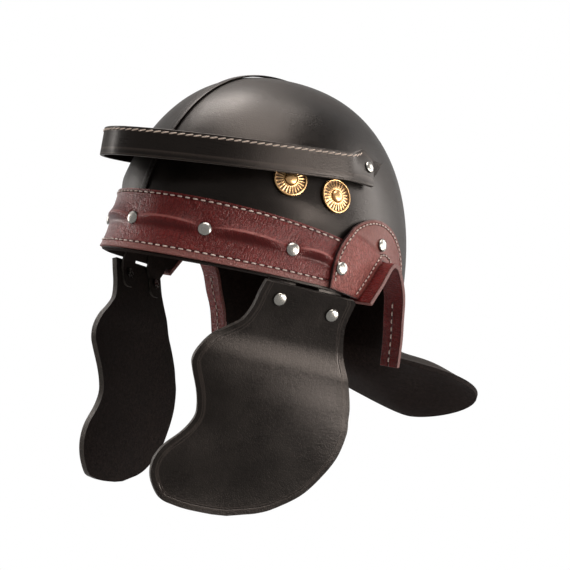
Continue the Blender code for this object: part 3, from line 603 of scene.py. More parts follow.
def spindleShape(half, radius):
    # flattened rings along x, lifted in the middle, and a tip at each end that dips into the leather
    s = spindle
    around = np.linspace(0, 2 * np.pi, s["sides"], endpoint=False)
    along, thick, lift = (np.array(s[word])[:, None] for word in ("along", "thick", "lift"))
    x = along * half + 0 * around
    y = thick * radius * np.cos(around)
    z = thick * radius * s["flat"] * np.sin(around) + lift * radius
    tips = [[-half, 0, -s["dip"] * radius], [half, 0, -s["dip"] * radius]]
    points = np.vstack([np.stack([x, y, z], -1).reshape(-1, 3), tips])
    ring = np.arange(s["sides"])
    after = (ring + 1) % s["sides"]
    lastRing = len(points) - 2 - s["sides"]
    start = np.stack([0 * ring + len(points) - 2, after, ring], 1)
    end = np.stack([0 * ring + len(points) - 1, ring + lastRing, after + lastRing], 1)
    return points, gridFaces(len(along), s["sides"], True)[:, ::-1], np.vstack([start, end])[:, ::-1]


def stitches(name, path, normals, sewing, finish, side=1, lean=0):
    # one spindle a stitch, its x along the path turned by the lean, its z along the normal
    path, normals = mirrored(path, side), mirrored(normals, side)
    run = runAlong(path)
    count = int(run[-1] / sewing["pitch"])
    middle = (np.arange(count) + 0.5) * run[-1] / count
    half = sewing["length"] / 2
    centre = readAt(path, run, middle)
    along = unit(readAt(path, run, middle + half) - readAt(path, run, middle - half))
    up = unit(readAt(normals, run, middle))
    along = unit(along - up * (along * up).sum(1, keepdims=True))
    beside = np.cross(up, along)
    ahead = along * math.cos(lean) + beside * math.sin(lean)
    across = beside * math.cos(lean) - along * math.sin(lean)
    shape, quads, ends = spindleShape(half, sewing["width"] / 2)
    points = centre[:, None] + shape @ np.stack([ahead, across, up], 1)
    shift = (np.arange(count) * len(shape))[:, None, None]
    faces = (quads + shift).reshape(-1, 4).tolist() + (ends + shift).reshape(-1, 3).tolist()
    mesh = bpy.data.meshes.new(name)
    mesh.from_pydata(points.reshape(-1, 3).tolist(), [], faces)
    work = bmesh.new()
    work.from_mesh(mesh)
    bmesh.ops.recalc_face_normals(work, faces=work.faces)
    work.to_mesh(mesh)
    work.free()
    mesh.shade_smooth()
    addPiece(name, mesh, "helmet", (), (finish,))


longStitch = dict(pitch=0.0051, length=0.0034, width=0.00105)
shortStitch = dict(pitch=0.0036, length=0.0024, width=0.00105)
whipStitch = dict(pitch=0.005, length=0.0052, width=0.0009)
fineStitch = dict(pitch=0.003, length=0.0022, width=0.0006)


# Ear opening, shared by the bowl, the flange and the ear piece
ear = dict(
    frontY=-0.0012, frontZ=-0.0003, length=0.058, height=0.0285, drop=0.0385, wall=0.003,
    standFront=0.0155, standBack=0.0122, columns=110, rows=25, seamColumn=66, seamShare=0.34, centreZ=-0.02,
    archShares=((0, 0), (0.17, 0.49), (0.31, 0.9), (0.41, 1), (0.53, 0.86), (0.73, 0.36)),
    legShares=((0.84, 0.17), (0.93, 0.52), (1, 1)),
)


def earLine(count, off=0):
    # the opening's side view through its shares, moved off along its own normals
    front, long = ear["frontY"], ear["length"]
    points = [(front + long * back, ear["frontZ"] + ear["height"] * up) for back, up in ear["archShares"]]
    points += [(front + long * back, -ear["drop"] * down) for back, down in ear["legShares"]]
    line = curveThrough(points, count)
    return line + lineNormals(line) * off


# Brow band measures, which the bowl's rim follows
band = dict(
    wall=0.0018, bottomFront=0.0088, bottomDrop=0.0032, topFront=0.0472, topDrop=0.0092,
    dropAngle=math.radians(80), endAngle=math.radians(84), ribHeight=0.0032, ribAbove=0.0095, ribBelow=0.0055,
    ribBow=0.0026, rivetAngles=(0, math.radians(31), math.radians(62.3)), rivetGap=math.radians(1.7),
    ribEnd=math.radians(77.5), columns=321, rows=97, bottomSeam=0.0041, topSeam=0.0019,
    topRow=math.radians(79.2), bottomRow=math.radians(75), rowColumns=400, ribPower=1.7,
    # crestShade and valleyShade shape the painted highlight on the rib's top and the painted shade under it
    crestShade=(3.2, -0.35), valleyShade=(1.05, 0.8),
)


def bandBottom(angle):
    # falls as the square of the angle
    return band["bottomFront"] - band["bottomDrop"] * (angle / band["dropAngle"]) ** 2


def bandTop(angle):
    # falls as the cube of the angle
    return band["topFront"] - band["topDrop"] * (np.abs(angle) / band["dropAngle"]) ** 3


def bandMiddle(angle):
    # half way between the edges
    return (bandBottom(angle) + bandTop(angle)) / 2


# Bowl
def bowlEdge():
    # lower edge as (angle, height): along the rim, round the ear opening, along the skirt
    y, z = earLine(bowl["archColumns"], ear["wall"] / 2 + fit).T
    angle = sideAngle(y, z)
    pastFront = (z > bandBottom(angle) - bowl["rimShow"]) | (y > ear["frontY"] + ear["length"] / 2)
    inside = np.nonzero(pastFront & (z > -bowl["skirtDepth"]))[0]
    arch = np.stack([angle[inside], z[inside]], 1)
    rim = np.linspace(0, arch[0, 0], bowl["rimColumns"])[:-1]
    skirt = np.linspace(arch[-1, 0], np.pi, bowl["skirtColumns"])[1:]
    rim = np.stack([rim, bandBottom(rim) - bowl["rimShow"]], 1)
    skirt = np.stack([skirt, 0 * skirt - bowl["skirtDepth"]], 1)
    return np.vstack([rim, arch, skirt])


def bowlHalf(suffix, side):
    # straight columns of the skin from the lower edge to the crown
    angle, bottom = bowlEdge().T
    share = np.linspace(0, 1, bowl["lowRows"], endpoint=False)[:, None]
    low = mix(bottom, bowl["shoulder"], share ** bowl["lowSpread"])
    half = bowl["power"] / 2
    lowest = math.asin((bowl["shoulder"] / bowl["height"]) ** half)
    high = bowl["height"] * np.sin(np.linspace(lowest, np.pi / 2, bowl["highRows"]))[:, None] ** (1 / half)
    grid = skin(angle, np.vstack([low, high + 0 * angle]))
    grid[..., 0] = np.maximum(grid[..., 0], bowl["seam"] / 2)
    leather("bowlHalf_" + suffix, grid, bowl["wall"], "helmet", ["bowl_" + suffix], blackSet,
            side)


for suffix, side in sides:
    bowlHalf(suffix, side)

strip = dict(width=0.006, wall=0.001, dome=0.0003, seamFromMiddle=0.0017, neckTop=-0.016,
             seamRise=0.6, columns=13, frontRows=90, backRows=120, skirtRows=10, bevel=0.0003)


def crownPath():
    # (angle, height) from the brow band over the crown to the neck guard's collar
    half = bowl["power"] / 2
    lowest = math.asin(((band["topFront"] + fit) / bowl["height"]) ** half)
    front = bowl["height"] * np.sin(np.linspace(lowest, np.pi / 2, strip["frontRows"])) ** (1 / half)
    back = bowl["height"] * np.sin(np.linspace(np.pi / 2, 0, strip["backRows"]))[1:] ** (1 / half)
    down = np.linspace(0, strip["neckTop"] + fit, strip["skirtRows"])[1:]
    height = np.concatenate([front, back, down])
    return np.where(np.arange(len(height)) < len(front), 0, np.pi), height


def crownStrip():
    # a slightly domed tape; its middle line is the skin at x = 0
    angle, height = crownPath()
    x = np.linspace(-0.5, 0.5, strip["columns"])[:, None] * strip["width"]
    off = fit + strip["wall"] + strip["dome"] * (1 - (2 * x / strip["width"]) ** 2)
    grid = skin(angle, height, off + 0 * angle)
    grid[..., 0] = x
    leather("crownSeamStrip", grid, strip["wall"], "helmet", ["crown_seam_strip"], blackSet,
            bevel=strip["bevel"])
    line = skin(angle, height, fit + strip["wall"] + strip["dome"] * strip["seamRise"])
    line[:, 0] = 0
    up = -unit(np.cross([1, 0, 0], np.gradient(line, axis=0)))
    for suffix, side in sides:
        stitches("crownStitches" + suffix.title(), line + mirrored([strip["seamFromMiddle"], 0, 0], side), up,
                 fineStitch, blackThread)


crownStrip()
print("bowl made")


# Brow band
def ribSwell(angle):
    # 0 at the rivets, the root of a sine to 1 between them
    marks = list(band["rivetAngles"]) + [band["ribEnd"] + band["rivetGap"]]
    swell = 0 * angle
    for start, end in zip(marks, marks[1:]):
        low, high = start + band["rivetGap"], end - band["rivetGap"]
        share = np.clip((np.abs(angle) - low) / (high - low), 0, 1)
        swell = swell + np.sin(np.pi * share) ** 0.5
    return swell


def rib(angle, z):
    # a ridge from rivet to rivet: its top bows up as a sine, long slope above and short slope below
    swell = ribSwell(angle)
    away = z - bandMiddle(angle) - band["ribBow"] * swell
    above = np.clip(1 - away / band["ribAbove"], 0, 1) ** band["ribPower"]
    return band["ribHeight"] * swell * np.where(away > 0, above, smooth(1 + away / band["ribBelow"]))


def browBand():
    # one sheet from ear to ear, its face a wall off the bowl plus the rib
    angle = np.linspace(-band["endAngle"], band["endAngle"], band["columns"])
    share = np.linspace(0, 1, band["rows"])[:, None]
    z = mix(bandBottom(angle), bandTop(angle), share)
    grid = skin(angle, z, fit + band["wall"] + rib(angle, z))
    tall = bandTop(angle) - bandBottom(angle)
    edge = np.minimum(share, 1 - share) * tall + (share > 0.5)
    seam = np.minimum(np.abs(share * tall - band["bottomSeam"]), np.abs((1 - share) * tall - band["topSeam"]))
    # painted light along the rib: a highlight on its top and shade in the hollow under it
    swell = ribSwell(angle)
    away = (z - bandMiddle(angle) - band["ribBow"] * swell) / band["ribBelow"]
    crestHighlight, valley = (smooth(1 - np.abs(away * steep + shift))
                     for steep, shift in (band["crestShade"], band["valleyShade"]))
    leather("browBand", grid, band["wall"], "helmet", ["brow_band"],
            (redBand, redEdge, redFlesh), fields=dict(edge=edge, seam=seam, foldLightAndShade=swell * (crestHighlight - valley)))
    for word, reach, height, inward in (("Top", band["topRow"], bandTop, -band["topSeam"]),
                                        ("Bottom", band["bottomRow"], bandBottom, band["bottomSeam"])):
        turn = np.linspace(-reach, reach, band["rowColumns"])
        z = height(turn) + inward
        stitches("bandStitches" + word, skin(turn, z, fit + band["wall"] + rib(turn, z)), skinNormal(turn, z),
                 longStitch, creamThread)


browBand()
print("brow band made")

# Ear piece
earPiece = dict(
    wall=0.0025, radius=0.041, y=0.014, z=0.015, bottomFront=0.0055, bottom=0.0019, bottomRun=0.0247,
    step=0.008, shadeStep=0.004, shade=0.85, rows=41, frontColumns=40, backColumns=16,
    seam=0.0027, seamBelow=0.004, seamReach=math.radians(8), seamColumns=240,
    innerSeam=0.0042, innerEnd=0.002, innerColumns=90,
    crease=((-0.03, 0.0425), (-0.0122, 0.0398), (-0.0012, 0.0372), (0.0033, 0.0353), (0.0133, 0.0312),
            (0.03, 0.012)),
)


def pastCrease(angle, z, step):
    # 0 up to the crease, 1 a step above and behind it
    y = -bowl["halfLength"] * bowlShare(z) * np.cos(angle)
    return smooth((z - np.interp(y, *np.array(earPiece["crease"]).T)) / step)


def earPieceOff(angle, z):
    # over the brow band, then down to the bowl past the crease
    return fit + (band["wall"] + fit) * (1 - pastCrease(angle, z, earPiece["step"]))


def earPieceFace(y, z):
    # the skin moved out by what lies under the piece and by the piece's own wall
    angle = sideAngle(y, z)
    return skin(angle, z, earPieceOff(angle, z) + earPiece["wall"]), angle


def earPieceColumns():
    # (y, bottom, top) of each column: along the bottom, round the opening, along the bottom again
    p = earPiece
    arch = earLine(ear["columns"], ear["wall"] / 2 + fit)
    front = p["y"] - p["radius"]

    def bottom(y):
        # straight from the front height to the back one, then level
        return mix(p["bottomFront"], p["bottom"], np.clip((y - front) / p["bottomRun"], 0, 1))

    arch = arch[arch[:, 1] > bottom(arch[:, 0])]
    start, end = np.arccos((p["y"] - arch[[0, -1], 0]) / p["radius"])
    first = p["y"] - p["radius"] * np.cos(np.linspace(0, start, p["frontColumns"]))[:-1]
    last = p["y"] - p["radius"] * np.cos(np.linspace(end, np.pi, p["backColumns"]))[1:]
    y = np.concatenate([first, arch[:, 0], last])
    low = np.concatenate([bottom(first), arch[:, 1], bottom(last)])
    high = p["z"] + np.sqrt(np.maximum(p["radius"] ** 2 - (y - p["y"]) ** 2, 0))
    return y, low, high


def makeEarPiece(suffix, side):
    # upright columns of the face, and two rows of stitches along its round edge and the opening
    p = earPiece
    y, low, high = earPieceColumns()
    z = mix(low, high, np.linspace(0, 1, p["rows"])[:, None])
    y = y + 0 * z
    grid, angle = earPieceFace(y, z)
    outline = np.vstack([np.stack([y[0], low], 1), np.stack([y[0], high], 1)[::-1]])
    place = np.stack([y, z], -1)
    fromCentre = np.hypot(y - p["y"], z - p["z"])
    inner = earLine(p["innerColumns"], ear["wall"] / 2 + fit + p["innerSeam"])
    inner = inner[inner[:, 1] > p["bottom"] + p["innerEnd"]]
    radius = p["radius"] - p["seam"]
    seam = np.minimum(np.abs(fromCentre - radius) + (z < p["z"] - p["seamBelow"]), distanceTo(place, inner))
    # painted shade: darker behind the ear piece's crease
    fields = dict(edge=distanceTo(place, outline, True), seam=seam,
                  foldLightAndShade=-p["shade"] * pastCrease(angle, z, p["shadeStep"]))
    leather("earPiece." + suffix, grid, p["wall"], "helmet", ["ear_piece_" + suffix],
            earSet, side, fields=fields)
    turn = np.linspace(-p["seamReach"], np.pi + p["seamReach"], p["seamColumns"])
    outer = np.array([p["y"] - radius * np.cos(turn), p["z"] + radius * np.sin(turn)])
    for word, (lineY, lineZ) in (("Outer", outer), ("Inner", inner.T)):
        path, angle = earPieceFace(lineY, lineZ)
        stitches("earPieceStitches" + word + "." + suffix, path, skinNormal(angle, lineZ), shortStitch,
                 creamThread, side)


def makeFlange(suffix, side):
    # the opening's line, half a wall out, carried from the bowl's inside to its stand
    y, z = earLine(ear["columns"], ear["wall"] / 2).T
    middle = earLine(ear["columns"])
    wall = skin(sideAngle(*middle.T), middle[:, 1])[:, 0]
    inner = skin(sideAngle(*middle.T), middle[:, 1], -bowl["wall"])[:, 0]
    out = wall + mix(ear["standFront"], ear["standBack"], np.linspace(0, 1, len(y)))
    share = np.linspace(0, 1, ear["rows"])[:, None]
    grid = np.stack([mix(inner, out, share), y + 0 * share, z + 0 * share], -1)
    seamAt = (out - wall) * ear["seamShare"] + (wall - inner)
    seam = np.abs((out - inner) * share - seamAt) + (np.arange(len(y)) < ear["seamColumn"])
    centre = (grid[..., 0].mean(), ear["frontY"] + ear["length"] / 2, ear["centreZ"])
    fields = dict(edge=(out - inner) * (1 - share), seam=seam)
    leather("earFlange." + suffix, grid, ear["wall"], "helmet", ["ear_flange_" + suffix],
            (redGrain, redEdge, redGrain), side, centre, fields=fields)
    back = slice(ear["seamColumn"], len(y) - 2)
    under = earLine(ear["columns"], -ear["wall"] / 2)[back]
    normal = -lineNormals(middle)[back]
    x = (inner + seamAt)[back]
    stitches("flangeStitches." + suffix, np.column_stack([x, under]), np.column_stack([0 * x, normal]),
             longStitch, creamThread, side)


for suffix, side in sides:
    makeEarPiece(suffix, side)
    makeFlange(suffix, side)
print("ear pieces and flanges made")

# Brow guard
guard = dict(
    sideReach=0.0076, frontReach=0.0392, centreY=0.0024, power=1.1, topFront=0.0826, height=0.0183,
    sideRise=0.0152, wall=0.0028, endAngle=math.radians(80), easing=10, bevel=0.0005,
    rows=13, columns=80, turnColumns=14, tabColumns=7, ledgeRows=9, bentRows=24, leafColumns=13,
    ledgeWall=0.002, ledgeSeat=0.0017, tabStart=-0.001, tabEnd=0.0072, tabTopStart=0.0995, tabTopEnd=0.0925,
    tabBottom=0.0757, tabBottomEnd=0.0042, flapTip=(0.0225, 0.095), flapTop=0.0965, flapBottom=0.0768,
    flapGap=0.0005, leafTaper=1.2, leafTip=0.04, leafRise=1.3, ledgeBevel=0.0003,
    grooves=(0.0018, 0.0036), seam=0.0021, seamShallow=0.0002, seamSkip=4, seamLean=math.radians(13),
)


def guardPlan(turn, inset, z):
    # superellipse in plan, drawn in by the inset
    g = guard
    here = bowlShare(g["topFront"])
    x = (bowl["halfWidth"] * here + g["sideReach"] - inset) * np.sin(turn) ** g["power"]
    depth = bowl["halfLength"] * here + g["frontReach"] + g["centreY"]
    y = g["centreY"] - (depth - inset) * np.cos(turn) ** g["power"]
    return np.stack(np.broadcast_arrays(x, y, z), -1)


def guardTop(turn):
    # rises towards the sides as 1 - cos
    return guard["topFront"] + guard["sideRise"] * (1 - np.cos(turn))


def sidePatch(y, z, off):
    # the skin above a place in the side view
    return skin(sideAngle(y, z), z, off)


def bothSides(half):
    # the half's columns mirrored across x = 0, sharing the middle one
    return np.concatenate([mirrored(half[:, :0:-1], -1), half], axis=1)


def easeColumns(grid, times):
    # each column moves to a quarter, half, quarter mean of itself and its neighbours
    for _ in range(times):
        grid[:, 1:-1] = (grid[:, :-2] + 2 * grid[:, 1:-1] + grid[:, 2:]) / 4
    return grid


def guardHalf(share):
    # inner face: the arc, then the stretch that turns in, then the tab on the bowl
    g = guard
    turn = np.linspace(0, g["endAngle"], g["columns"])
    arc = guardPlan(turn, g["wall"], guardTop(turn) - g["height"] * (1 - share))
    tabOff = g["flapGap"] + g["ledgeWall"] + fit

    def tab(topY, topZ, lowY):
        # one column of the tab, from its bottom to its top
        return sidePatch(mix(lowY, topY, share), mix(g["tabBottom"], topZ, share), tabOff)

    first = tab(g["tabStart"], g["tabTopStart"], g["tabStart"])
    last = tab(g["tabEnd"], g["tabTopEnd"], g["tabBottomEnd"])
    inward = np.linspace(0, 1, g["turnColumns"])[1:, None]
    turned = mix(arc[:, -1:], first, inward)
    end = mix(first, last, np.linspace(0, 1, g["tabColumns"])[1:, None])
    return arc, turned, end


def browGuard():
    # the inner face eased, and the outer one a wall away along its normals
    g = guard
    share = np.linspace(0, 1, g["rows"])[:, None]
    inner = easeColumns(bothSides(np.concatenate(guardHalf(share), axis=1)), g["easing"])
    normal = gridNormals(inner)
    if (normal * inner)[..., :2].sum() < 0:
        normal = -normal
    outer = inner + normal * g["wall"]
    height = share * g["height"] + 0 * inner[..., 0]
    crease = np.minimum(*(np.abs(height - groove) for groove in g["grooves"]))
    crease = np.minimum(crease, np.abs(height - g["height"] + g["seam"]) + g["seamShallow"])
    leather("browGuardBand", outer, g["wall"], "helmet", ["brow_guard_band"],
            (blackCreased, blackEdge, blackFlesh), centre=(0, 0, g["topFront"]), bevel=g["bevel"],
            fields=dict(crease=crease))
    row = (1 - g["seam"] / g["height"]) * (g["rows"] - 1)
    low = int(row)
    skip = g["turnColumns"] - g["seamSkip"]
    path, up = (mix(face[low], face[low + 1], row - low)[skip:-skip] for face in (outer, normal))
    stitches("browGuardStitches", path, up, whipStitch, brownThread, lean=g["seamLean"])


def guardLedge():
    # shelf from the bowl to the guard's top, folding down into a flap behind the tab
    g = guard
    share = np.linspace(0, 1, g["ledgeRows"])[:, None]
    turn = np.linspace(0, g["endAngle"], g["columns"])
    top = guardTop(turn) - fit
    outer = guardPlan(turn, g["wall"] + fit, top)
    facing = np.arctan2(outer[:, 0] / bowl["halfWidth"], -outer[:, 1] / bowl["halfLength"])
    seat = skin(facing, top - g["ledgeWall"], g["ledgeSeat"])
    seat[:, 2] = top
    shelf = mix(seat, outer, share[..., None])
    low = g["flapGap"] + g["ledgeWall"]
    flap = sidePatch(g["tabStart"] + 0 * share, mix(g["flapTop"], g["flapBottom"], share), low)
    turned = guardHalf(np.linspace(0, 1, g["bentRows"] + 1)[:, None])[1]
    inward = np.linspace(0, 1, g["turnColumns"])[1:-1]
    height = (1 - smooth(inward)) * g["bentRows"]
    step = np.minimum(height.astype(int), g["bentRows"] - 1)
    pick = np.arange(len(inward))
    outside = mix(turned[step, pick], turned[step + 1, pick], (height - step)[:, None])
    outside[:, 0] -= 2 * fit
    inside = mix(seat[-1], flap[0, 0], inward[:, None])
    bent = mix(inside, outside, share[..., None])
    run = np.linspace(0, 1, g["leafColumns"])[1:]
    tipY, tipZ = g["flapTip"]
    y = mix(g["tabStart"], tipY, run)
    taper = np.maximum(1 - run ** g["leafTaper"], g["leafTip"])
    tall = (g["flapTop"] - g["flapBottom"]) / 2 * taper
    middle = mix((g["flapTop"] + g["flapBottom"]) / 2, tipZ, run ** g["leafRise"])
    leaf = sidePatch(y + 0 * share, middle + tall * (1 - 2 * share), low)
    half = np.concatenate([shelf, bent, flap, leaf], axis=1)
    leather("browGuardLedge", bothSides(half), g["ledgeWall"], "helmet", ["brow_guard_ledge"],
            (greyFlesh, blackEdge, blackFlesh), centre=(0, 0, -bowl["height"]), bevel=g["ledgeBevel"])


browGuard()
guardLedge()
print("brow guard made")

# Rivets and rosettes
rivet = dict(
    cap=(0.0044, 0.002), smallCap=(0.0037, 0.0016), capRows=12, lip=0.12, power=0.9, steps=40,
    sharp=math.radians(42), shank=0.0015, burr=0.0035, burrHeight=0.0008, burrGap=0.0006,
    earFront=(math.radians(79.8), 0.0189), earBack=(math.radians(98.9), 0.0402), guardPlace=(0.0009, 0.0875),
)
rosette = dict(
    gap=0.0005, radius=0.0113, rim=0.0006, height=0.0015, wall=0.001, hole=0.0018, seatRadius=0.11,
    knob=(0.004, 0.002), well=0.0047, wellFloor=0.82, collar=0.0016, foot=0.0009,
    collarShares=((0.93, 0.85), (1, 1), (1.07, 0.97)), flutes=24, fluteDepth=0.0006, fluteStart=1.12,
    fluteTop=0.9, fluteRims=2.2, fluteTurn=(0.08, 0.7), flutePower=0.7, dipPower=1.5,
    fluteRings=14, rimRings=9, stepsInFlute=10, mergeGap=0.00001,
    fluteShade=(0.22, 0.42), dipShade=0.6, wellShade=0.9, grooveShade=0.8,
    places=((math.radians(57.6), 0.0687), (math.radians(76.2), 0.0646)),
)


def capProfile(cap, grip):
    # cosine cap of (radius, height) on a short lip, then the shank and its burr
    radius, height = cap
    turn = np.linspace(0, np.pi / 2, rivet["capRows"])
    rise = rivet["lip"] + (1 - rivet["lip"]) * np.cos(turn) ** rivet["power"]
    shank, burr, end = rivet["shank"], rivet["burr"], -grip - rivet["burrHeight"]
    tail = [(radius, 0), (shank, 0), (shank, -grip), (burr, -grip), (burr, end), (0, end)]
    return np.vstack([np.stack([radius * np.sin(turn), height * rise], 1), tail])


def turnedMesh(name, grid, place, normal, centre, side, hollow, gap=0.00002):
    # a lathed grid stood on its place; hollow is how dark it is where the brass is aged
    points = standOn(grid.reshape(-1, 3), mirrored(place, side), mirrored(normal, side))
    faces = facesOut(points, gridFaces(*grid.shape[:2], True), mirrored(centre, side))
    mesh = meshFrom(name, points, faces, None, dict(hollow=hollow))
    mergeDoubles(mesh, gap)
    return mesh


def addRivet(name, node, place, normal, grip, side=1, body="helmet", cap=rivet["cap"], finish=nickel,
             slot="nickel"):
    # the place is under the cap, and the grip is the length from there to the burr
    grid = lathe(capProfile(cap, grip), rivet["steps"])
    mesh = turnedMesh(name, grid, place, normal, place - normal * grip / 2, side, np.zeros(grid.shape[:2]))
    mesh.set_sharp_from_angle(angle=rivet["sharp"])
    addPiece(name, mesh, body, [node], (finish,))


def bowlRivets():
    # each stands over the layers outside the bowl and grips the bowl, and a strap where one hangs there
    overBand = fit + band["wall"] + fit
    strapWall = fit + straps["wall"]

    def onBowl(name, node, angle, z, over, extra=0, side=1, **look):
        # over is the height of the cap's seat above the bowl, extra is what lies inside
        grip = over + bowl["wall"] + rivet["burrGap"] + extra
        addRivet(name, node, skin(angle, z, over), skinNormal(angle, z), grip, side, **look)

    onBowl("bandRivetFront", "band_rivet_front", 0, bandMiddle(0), overBand)
    for suffix, side in sides:
        for word, angle, extra in zip(("middle", "side"), band["rivetAngles"][1:], (0, strapWall)):
            onBowl("bandRivet." + word + "." + suffix, "band_rivet_" + word + "_" + suffix, angle,
                   bandMiddle(angle), overBand, extra, side)
        for word, place, extra in (("front", rivet["earFront"], strapWall), ("back", rivet["earBack"], 0)):
            over = float(earPieceOff(*place)) + earPiece["wall"] + fit
            onBowl("earRivet." + word + "." + suffix, "ear_rivet_" + word + "_" + suffix, *place, over, extra,
                   side)
        y, z = rivet["guardPlace"]
        over = guard["flapGap"] + guard["ledgeWall"] + 2 * fit + guard["wall"]
        onBowl("guardRivet." + suffix, "guard_rivet_" + suffix, float(sideAngle(y, z)), z, over, 0, side,
               cap=rivet["smallCap"])


def rosetteGrid():
    # rings of (radius, height, flute share), all dished to sit on the bowl
    r = rosette
    well, collar, rim = r["well"], r["collar"], r["rim"]
    rings = [(r["hole"], r["wall"], 0), (well * r["wellFloor"], r["wall"], 0)]
    rings += [(well * out, collar * up, 0) for out, up in r["collarShares"]]
    for share in np.linspace(0, 1, r["fluteRings"]):
        radius = mix(well * r["fluteStart"], r["radius"] - r["fluteRims"] * rim, share)
        rise = mix(collar * r["fluteTop"], r["foot"], smooth(share))
        rings.append((radius, rise, math.sin(math.pi * mix(*r["fluteTurn"], share)) ** r["flutePower"]))
    for turn in np.linspace(np.pi, 0, r["rimRings"]):
        rings.append((r["radius"] - rim + rim * math.cos(turn), r["height"] + rim * math.sin(turn), 0))
    radius, height, fluted = np.array(rings).T
    steps = r["flutes"] * r["stepsInFlute"]

    def dished(out):
        # the seat's sphere, taken as a parabola
        return -out ** 2 / (2 * r["seatRadius"])

    # each flute dips as a power of half of 1 - cos
    wave = 0.5 - 0.5 * np.cos(r["flutes"] * np.linspace(0, 2 * np.pi, steps, endpoint=False))
    dip = fluted[:, None] * wave ** r["dipPower"]
    top = lathe(np.stack([radius, height + dished(radius)], 1), steps)
    top[..., 2] -= r["fluteDepth"] * dip
    back = lathe([(edge, dished(edge)) for edge in (r["radius"], r["hole"])], steps)
    # dirt lies in the well, in the flutes and in the groove inside the rim
    flutes = (fluted > 0) * mix(*r["fluteShade"], (radius - well) / (r["radius"] - well))
    shade = np.maximum(flutes[:, None] + dip * r["dipShade"], (radius < well * r["wellShade"])[:, None])
    shade[-r["rimRings"]:] = 0
    shade[-r["rimRings"] - 1] = r["grooveShade"]
    return np.concatenate([top, back, top[:1]]), np.concatenate([shade, 0 * shade[:2], shade[:1]])


def rosettes(suffix, side):
    # two on each side, each held by its knob, which grips the rosette and the bowl
    r = rosette
    grid, shade = rosetteGrid()
    for word, (angle, z) in zip(("front", "back"), r["places"]):
        tag = word + "_" + suffix
        place, normal = skin(angle, z, r["gap"]), skinNormal(angle, z)
        inside = skin(angle, z, r["gap"] + r["wall"] / 2)
        mesh = turnedMesh("rosette." + tag, grid, place, normal, inside, side, shade, r["mergeGap"])
        addPiece("rosette." + tag, mesh, "helmet", ["rosette_" + tag], (agedBrass,))
        over = r["gap"] + r["wall"] + fit
        addRivet("rosetteKnob." + tag, "rosette_knob_" + tag, skin(angle, z, over), normal,
                 over + bowl["wall"] + rivet["burrGap"], side, cap=r["knob"], finish=agedBrass, slot="brass")


# Cheek guards and their straps
cheek = dict(
    height=0.1534, wall=0.0035, lean=0.0285, dome=0.0025, domeStart=0.22, domeEnd=0.34, domeFade=0.33,
    toe=math.radians(20.4), slope=math.radians(2.6), faceFromHinge=0.0059, topBelowHinge=0.0022,
    rows=131, columns=61, groove=0.0041, cup=0.0046, cupStart=0.2, cupRun=0.3, cupFade=0.5,
    frontShares=(
        (-0.216, 0), (-0.224, 0.05), (-0.231, 0.115), (-0.255, 0.177), (-0.3, 0.215), (-0.366, 0.263),
        (-0.405, 0.32), (-0.42, 0.374), (-0.405, 0.42), (-0.362, 0.502), (-0.34, 0.562), (-0.337, 0.611),
        (-0.37, 0.674), (-0.435, 0.748), (-0.462, 0.809), (-0.461, 0.865), (-0.437, 0.917), (-0.39, 0.967),
        (-0.328, 0.985), (-0.258, 0.995), (-0.15, 1),
    ),
    backShares=(
        (0.204, 0), (0.213, 0.012), (0.208, 0.099), (0.217, 0.15), (0.236, 0.205), (0.261, 0.263),
        (0.308, 0.344), (0.351, 0.441), (0.366, 0.503), (0.378, 0.565), (0.365, 0.666), (0.318, 0.763),
        (0.244, 0.86), (0.135, 0.934), (0.06, 0.966), (-0.014, 0.983), (-0.08, 0.997),
    ),
)
straps = dict(
    wall=0.0016, width=0.016, topReach=0.008, bottomReach=0.008, bendRun=0.0015, runOut=0.006,
    off=-bowl["wall"] - fit, places=dict(front=-0.0201, back=0.0191), drops=dict(front=0.0095, back=0.0119),
    blendRun=0.004, cornerRun=0.005, columns=15, bowlRows=7, guardRows=5, rows=60, bevel=0.0003,
)
hinge = dict(y=-0.036, z=0.0036)
hinge["origin"] = skin(sideAngle(hinge["y"], hinge["z"]), hinge["z"], straps["off"] - straps["wall"] / 2)
toe, slope = cheek["toe"], cheek["slope"]
hinge["along"] = unit([math.sin(toe) * math.cos(slope), math.cos(toe) * math.cos(slope), -math.sin(slope)])
hinge["out"] = unit(np.cross(hinge["along"], [0, 0, 1]))
hinge["up"] = np.cross(hinge["out"], hinge["along"])


def cheekPoint(along, down, out):
    # measured on the hinge: along it, down from the guard's top, out from its face
    along, down, out = (part[..., None] for part in np.broadcast_arrays(along, down, out))
    top = hinge["origin"] + hinge["out"] * cheek["faceFromHinge"] - hinge["up"] * cheek["topBelowHinge"]
    return top + along * hinge["along"] - down * hinge["up"] + out * hinge["out"]


def cheekOut(down):
    # leans in as 1 - (1 - s)^2 down the guard, and a smooth step below its crease presses it out
    share = down / cheek["height"]
    lean = -cheek["lean"] * (1 - (1 - share) ** 2)
    run = (share - cheek["domeStart"]) / (cheek["domeEnd"] - cheek["domeStart"])
    return lean + cheek["dome"] * smooth(run) * smooth((1 - share) / cheek["domeFade"])


def cheekBelly(place, front, back):
    # the moulded cup: 1 - (2s - 1)^2 from edge to edge, between two smooth steps down the guard
    across = (place[..., 0] - front[:, None, 0]) / (back[:, None, 0] - front[:, None, 0])
    down = place[..., 1] / cheek["height"]
    fade = smooth((down - cheek["cupStart"]) / cheek["cupRun"]) * smooth((1 - down) / cheek["cupFade"])
    return cheek["cup"] * (1 - (2 * across - 1) ** 2) * fade


